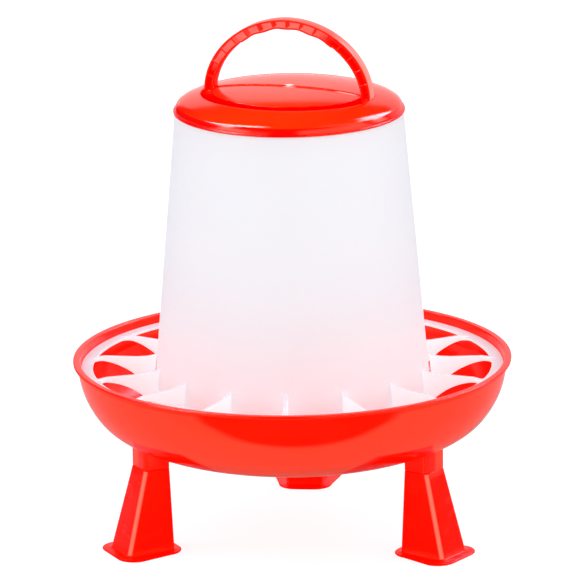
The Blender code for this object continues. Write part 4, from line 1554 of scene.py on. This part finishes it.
@dataclass
class Lid:
    """The domed lid with its skirt, its sunken middle and the channel for the folded handle."""

    hopper: Hopper
    handle: CarryHandle
    seat_gap: float = 0.0003
    flange_radius: float = 0.0917
    flange_thickness: float = 0.0014
    body_radius: float = 0.0904
    shoulder_radius: float = 0.0889
    shoulder_height: float = 0.0061
    dome_height: float = 0.0141
    wall: float = 0.0024
    dome_shares: tuple = (
        (1.0, 0.0), (0.979, 0.12), (0.934, 0.277), (0.88, 0.4), (0.7926, 0.5462), (0.665, 0.715), (0.51, 0.855),
        (0.34, 0.946), (0.17, 0.987), (0.0, 1.0),
    )
    skirt_depth: float = 0.0126
    skirt_wall: float = 0.0018
    skirt_gap: float = 0.0004
    island_step: float = 0.0009
    groove_depth: float = 0.0014
    trough_wall: float = 0.0024
    handle_gap: float = 0.0008
    pin_gap: float = 0.0003
    raise_by: float = 0.02
    edge: float = 0.0004
    arch_steps: int = 96
    gate_radius: float = 0.002
    gate_height: float = 0.0006

    @property
    def base(self) -> float:
        """The flange's underside."""
        return self.hopper.top_height + self.seat_gap

    def dome(self, shift: float = 0.0) -> Outline:
        """The dome's surface from its shoulder in to the axis, moved down its own slope by a shift."""
        foot = self.base + self.shoulder_height
        points = [(self.shoulder_radius * across, foot + self.dome_height * up) for across, up in self.dome_shares]
        mirrored = (-points[-2][0], points[-2][1])
        flange_top = (self.body_radius, self.base + self.flange_thickness * 2)
        curve = smooth_through(points, 4, before=flange_top, after=mirrored)
        if not shift:
            return curve
        moved = [(max(radius, 0.0), height) for radius, height in offset(curve, shift)]
        return moved[:-1] + [(0.0, moved[-1][1])]

    def profile(self) -> Outline:
        """The lid's section from the top of its dome, out over the flange, down the skirt and back."""
        base, edge = self.base, self.edge
        skirt_foot = base - self.skirt_depth
        outer = self.hopper.top_radius - self.hopper.wall - self.skirt_gap
        inner = outer - self.skirt_wall
        under = [point for point in self.dome(self.wall) if point[0] < inner]
        rim = rounded([
            self.dome()[0], (self.body_radius, base + self.flange_thickness * 2),
            (self.body_radius, base + self.flange_thickness), (self.flange_radius, base + self.flange_thickness),
            (self.flange_radius, base), (outer, base), (outer, skirt_foot), (inner, skirt_foot),
            (inner, under[0][1]), under[0],
        ], edge, 4)
        return list(reversed(self.dome()))[:-1] + rim + under[1:]

    def under_dome(self, shift: float) -> bpy.types.Object:
        """All that lies under the dome's surface moved down by a shift."""
        curve = self.dome(shift)
        low = self.hopper.top_height - self.raise_by
        return lathe("under_dome", [(0.0, low), (curve[0][0], low)] + curve)

    def gate_mark(self) -> bpy.types.Object:
        """The small raised mark that the moulding gate leaves in the middle of the dome."""
        top = self.dome()[-1][1] - self.island_step / 2
        peak = top + self.gate_height + self.island_step / 2
        points = [(0.0, top), (self.gate_radius, top), (self.gate_radius * 0.8, peak), (0.0, peak)]
        return lathe("gate_mark", rounded(points, self.edge, 3), 32)

    def build(self, finish: bpy.types.Material) -> bpy.types.Object:
        """Builds and dresses the lid."""
        handle, steps = self.handle, self.arch_steps
        made = lathe("lid_moulding", self.profile())
        reach = handle.depth / 2 + self.handle_gap
        floor = handle.hinge_height - reach
        above = handle.hinge_height + self.raise_by
        plan = handle.plan(self.handle_gap + self.trough_wall, reach + self.trough_wall, steps)
        trough = turned(prism("trough", plan, floor - self.trough_wall, above), handle.turn)
        boolean(trough, self.under_dome(self.wall / 2), Operation.KEEP)
        boolean(made, trough, Operation.JOIN)
        island = turned(prism("island", handle.island_plan(steps), floor, above), handle.turn)
        boolean(island, self.under_dome(self.island_step), Operation.CUT)
        boolean(made, island, Operation.CUT)
        plan = handle.plan(self.handle_gap, reach, steps)
        boolean(made, turned(prism("channel", plan, floor, above), handle.turn), Operation.CUT)
        bore_end = handle.half_span + self.handle_gap + self.trough_wall + OVERCUT
        for side in (-1, 1):
            ends = sorted((side * (handle.half_span - OVERCUT), side * bore_end))
            hole = turned(handle.bar(handle.pin_radius + self.pin_gap, *ends, edge=0.0), handle.turn)
            boolean(made, hole, Operation.CUT)
        made = dress(merged("lid_moulding", [made, self.gate_mark()]), "lid", finish)
        gate_highlight_height = self.dome()[-1][1] - self.island_step / 2
        # marks the gate mark for its painted highlight
        mark(made, GATE_HIGHLIGHT, lambda spot: spot.xy.length < self.gate_radius and spot.z > gate_highlight_height)
        dome = self.dome()[::-1]
        # marks the channel for its painted shade
        mark(made, GROOVE, lambda spot: height_on(dome, spot.xy.length) - spot.z > self.groove_depth)
        return made

    def finish(self) -> LidPlastic:
        """The lid's plastic, a little more orange than the dish's."""
        turn = self.handle.turn
        line, forward = (math.cos(turn), math.sin(turn), 0.0), (math.sin(turn), -math.cos(turn), 0.0)
        return LidPlastic(
            "lid_red", colour=(1.0, 0.033, 0.0, 1.0), crevice_reach=0.012, edge_radius=0.0005,
            line=line, forward=forward,
        )


@dataclass(frozen=True)
class Softbox:
    """One soft studio light that fills the shade and isn't mirrored."""

    name: str
    place: tuple
    size: tuple
    power: float
    aim: tuple = (0.0, 0.0, 0.2)

    def build(self) -> None:
        """Hangs the light and turns it to its aim."""
        data = bpy.data.lights.new(self.name, "AREA")
        data.shape = "RECTANGLE"
        data.size, data.size_y = self.size
        data.energy = self.power
        obj = bpy.data.objects.new(self.name, data)
        obj.location = self.place
        obj.rotation_mode = "QUATERNION"
        obj.rotation_quaternion = (Vector(self.aim) - Vector(self.place)).to_track_quat("-Z", "Y")
        obj.visible_glossy = False
        bpy.context.scene.collection.objects.link(obj)


@dataclass(frozen=True)
class Panel:
    """A patch of light in the room, placed by its directions from the object in degrees."""

    turn: tuple
    height: tuple
    level: float
    blur: float = 8.0
    colour: tuple = (1.0, 1.0, 1.0)

    def light(self, nodes: NodeTree, turn: bpy.types.NodeSocket, height: bpy.types.NodeSocket) -> object:
        """Works out the panel's share of the light.

        Args:
            nodes: The room's nodes.
            turn: A direction's turn to the right of straight behind.
            height: Its height over level.

        Returns:
            The colour of the panel's light in that direction.
        """
        share: object = self.level
        for source, span in ((turn, self.turn), (height, self.height)):
            low, high, soft = (math.radians(value) for value in (*span, self.blur / 2))
            rise = nodes.step(source, low - soft, low + soft)
            share = nodes.times(share, nodes.times(rise, nodes.step(source, high + soft, high - soft)))
        return nodes.scaled(self.colour, share)


@dataclass
class Room:
    """Light from all round: even on matt surfaces, in panels where gloss mirrors it, white to the camera."""

    fill_level: float = 1.08
    dark_colour: tuple = (0.01, 0.01, 0.01)
    panels: tuple = (
        Panel((-24, 52), (-12, 3), 0.12, 14),
        Panel((-24, 52), (-12, 26), 0.78, 3),
        Panel((-140, -105), (-5, 34), 6.8, 8, (1.0, 1.1, 1.5)),
        Panel((-145, -100), (-20, -5), 1.6, 6),
        Panel((-116, -76), (35, 76), 25.0, 10, (1.0, 1.15, 2.0)),
        Panel((33, 70), (25, 50), 15.0, 8, (1.0, 1.1, 1.7)),
        Panel((60, 76), (8, 40), 4.5),
        Panel((85, 165), (-19, 42), 1.7, 10),
        Panel((85, 165), (-6, 42), 1.7, 12),
        Panel((-163, -138), (-19, 34), 1.6, 8),
        Panel((70, 125), (48, 70), 1.5, 12),
    )

    def build(self) -> None:
        """Makes the world."""
        world = bpy.data.worlds.new("studio")
        bpy.context.scene.world = world
        nodes = NodeTree(world, "ShaderNodeOutputWorld")
        split = nodes.add("ShaderNodeSeparateXYZ")
        nodes.join(nodes.add("ShaderNodeTexCoord").outputs["Generated"], split.inputs[0])
        turn = nodes.reckon("ARCTAN2", split.outputs["X"], split.outputs["Y"])
        height = nodes.reckon("ARCSINE", split.outputs["Z"])
        mirrored = nodes.scaled(self.dark_colour, 1.0)
        for panel in self.panels:
            mirrored = nodes.total(mirrored, panel.light(nodes, turn, height))
        path = nodes.add("ShaderNodeLightPath")
        level = nodes.mix(path.outputs["Is Glossy Ray"], (self.fill_level,) * 3 + (1.0,), mirrored)
        room, plain = nodes.add("ShaderNodeBackground"), nodes.add("ShaderNodeBackground")
        plain.inputs["Color"].default_value = (1, 1, 1, 1)
        nodes.join(level, room.inputs["Color"])
        choice = nodes.add("ShaderNodeMixShader")
        nodes.join(path.outputs["Is Camera Ray"], choice.inputs[0])
        nodes.join(room.outputs[0], choice.inputs[1])
        nodes.join(plain.outputs[0], choice.inputs[2])
        nodes.join(choice.outputs[0], nodes.output.inputs["Surface"])


@dataclass
class Studio:
    """The white table, the light and the camera."""

    camera_place: tuple = (0.4010, -4.9839, 1.5445)
    camera_tilt: float = math.radians(74.902)
    camera_pan: float = math.radians(4.59)
    camera_roll: float = math.radians(-0.72)
    camera_lens: float = 400.3
    table_low: tuple = (-3.0, -0.24)
    table_high: tuple = (3.0, 5.0)
    table_colour: tuple = (0.3, 0.3, 0.302, 1.0)
    table_glow: float = 0.82
    table_gloss: float = 0.5
    table_roughness: tuple = (0.75, 0.85)
    table_smears: tuple = (30, 3)
    table_grain: tuple = (400, 2)
    table_grain_depth: float = 0.00002
    lights: tuple = (
        Softbox("fill_left", (-2.2, -0.5, 0.9), (1.2, 1.2), 6),
        Softbox("fill_right", (2.2, -0.5, 0.9), (1.2, 1.2), 8),
    )

    def table(self) -> None:
        """Lays the pale table and leaves it out of the object."""
        (left, front), (right, back) = self.table_low, self.table_high
        corners = [(left, front, 0), (right, front, 0), (right, back, 0), (left, back, 0)]
        obj = object_from("table_top", corners, [(0, 1, 2, 3)])
        nodes = Nodes("table_paper")
        rough = nodes.spread(nodes.noise(*self.table_smears), *self.table_roughness)
        relief = nodes.bump(nodes.noise(*self.table_grain), self.table_grain_depth)
        shader = nodes.plastic(self.table_colour, rough, self.table_gloss, relief)
        seen = nodes.add("ShaderNodeLightPath").outputs["Is Camera Ray"]
        nodes.light_up(shader, (1, 1, 1, 1), nodes.spread(seen, 0, self.table_glow))
        obj.data.materials.append(nodes.finished(shader))

    def camera(self) -> None:
        """Sets up the photograph's camera."""
        data = bpy.data.cameras.new("camera")
        data.lens = self.camera_lens
        obj = bpy.data.objects.new("camera", data)
        obj.location = self.camera_place
        obj.rotation_mode = "QUATERNION"
        obj.rotation_quaternion = (
            Quaternion((0, 0, 1), self.camera_pan)
            @ Quaternion((1, 0, 0), self.camera_tilt)
            @ Quaternion((0, 0, 1), self.camera_roll)
        )
        bpy.context.scene.collection.objects.link(obj)
        bpy.context.scene.camera = obj

    def build(self) -> None:
        """Sets up the whole studio."""
        bpy.context.scene.view_settings.view_transform = "Standard"
        self.table()
        Room().build()
        for light in self.lights:
            light.build()
        self.camera()


def main() -> None:
    """Builds every piece of the feeder and its studio."""
    logging.basicConfig(level=logging.INFO, format="%(name)s %(message)s")
    dish, handle = Dish(), CarryHandle()
    hopper = Hopper(dish)
    dish.build(BowlPlastic("dish_red", gloss=0.24).build())
    leg_finish = LegPlastic("leg_red", colour=(1.0, 0.006, 0.0, 1.0), roughness=(0.2, 0.3), gloss=0.07).build()
    for place in LegPlace:
        Leg(place, dish).build(leg_finish)
    hopper.build(MilkyPlastic("hopper_milky").build())
    DividerGrid(dish, hopper).build(WhitePlastic("grid_white").build())
    lid = Lid(hopper, handle)
    lid.build(lid.finish().build())
    handle.build(handle.finish().build())
    Studio().build()


if __name__ == "__main__":
    main()
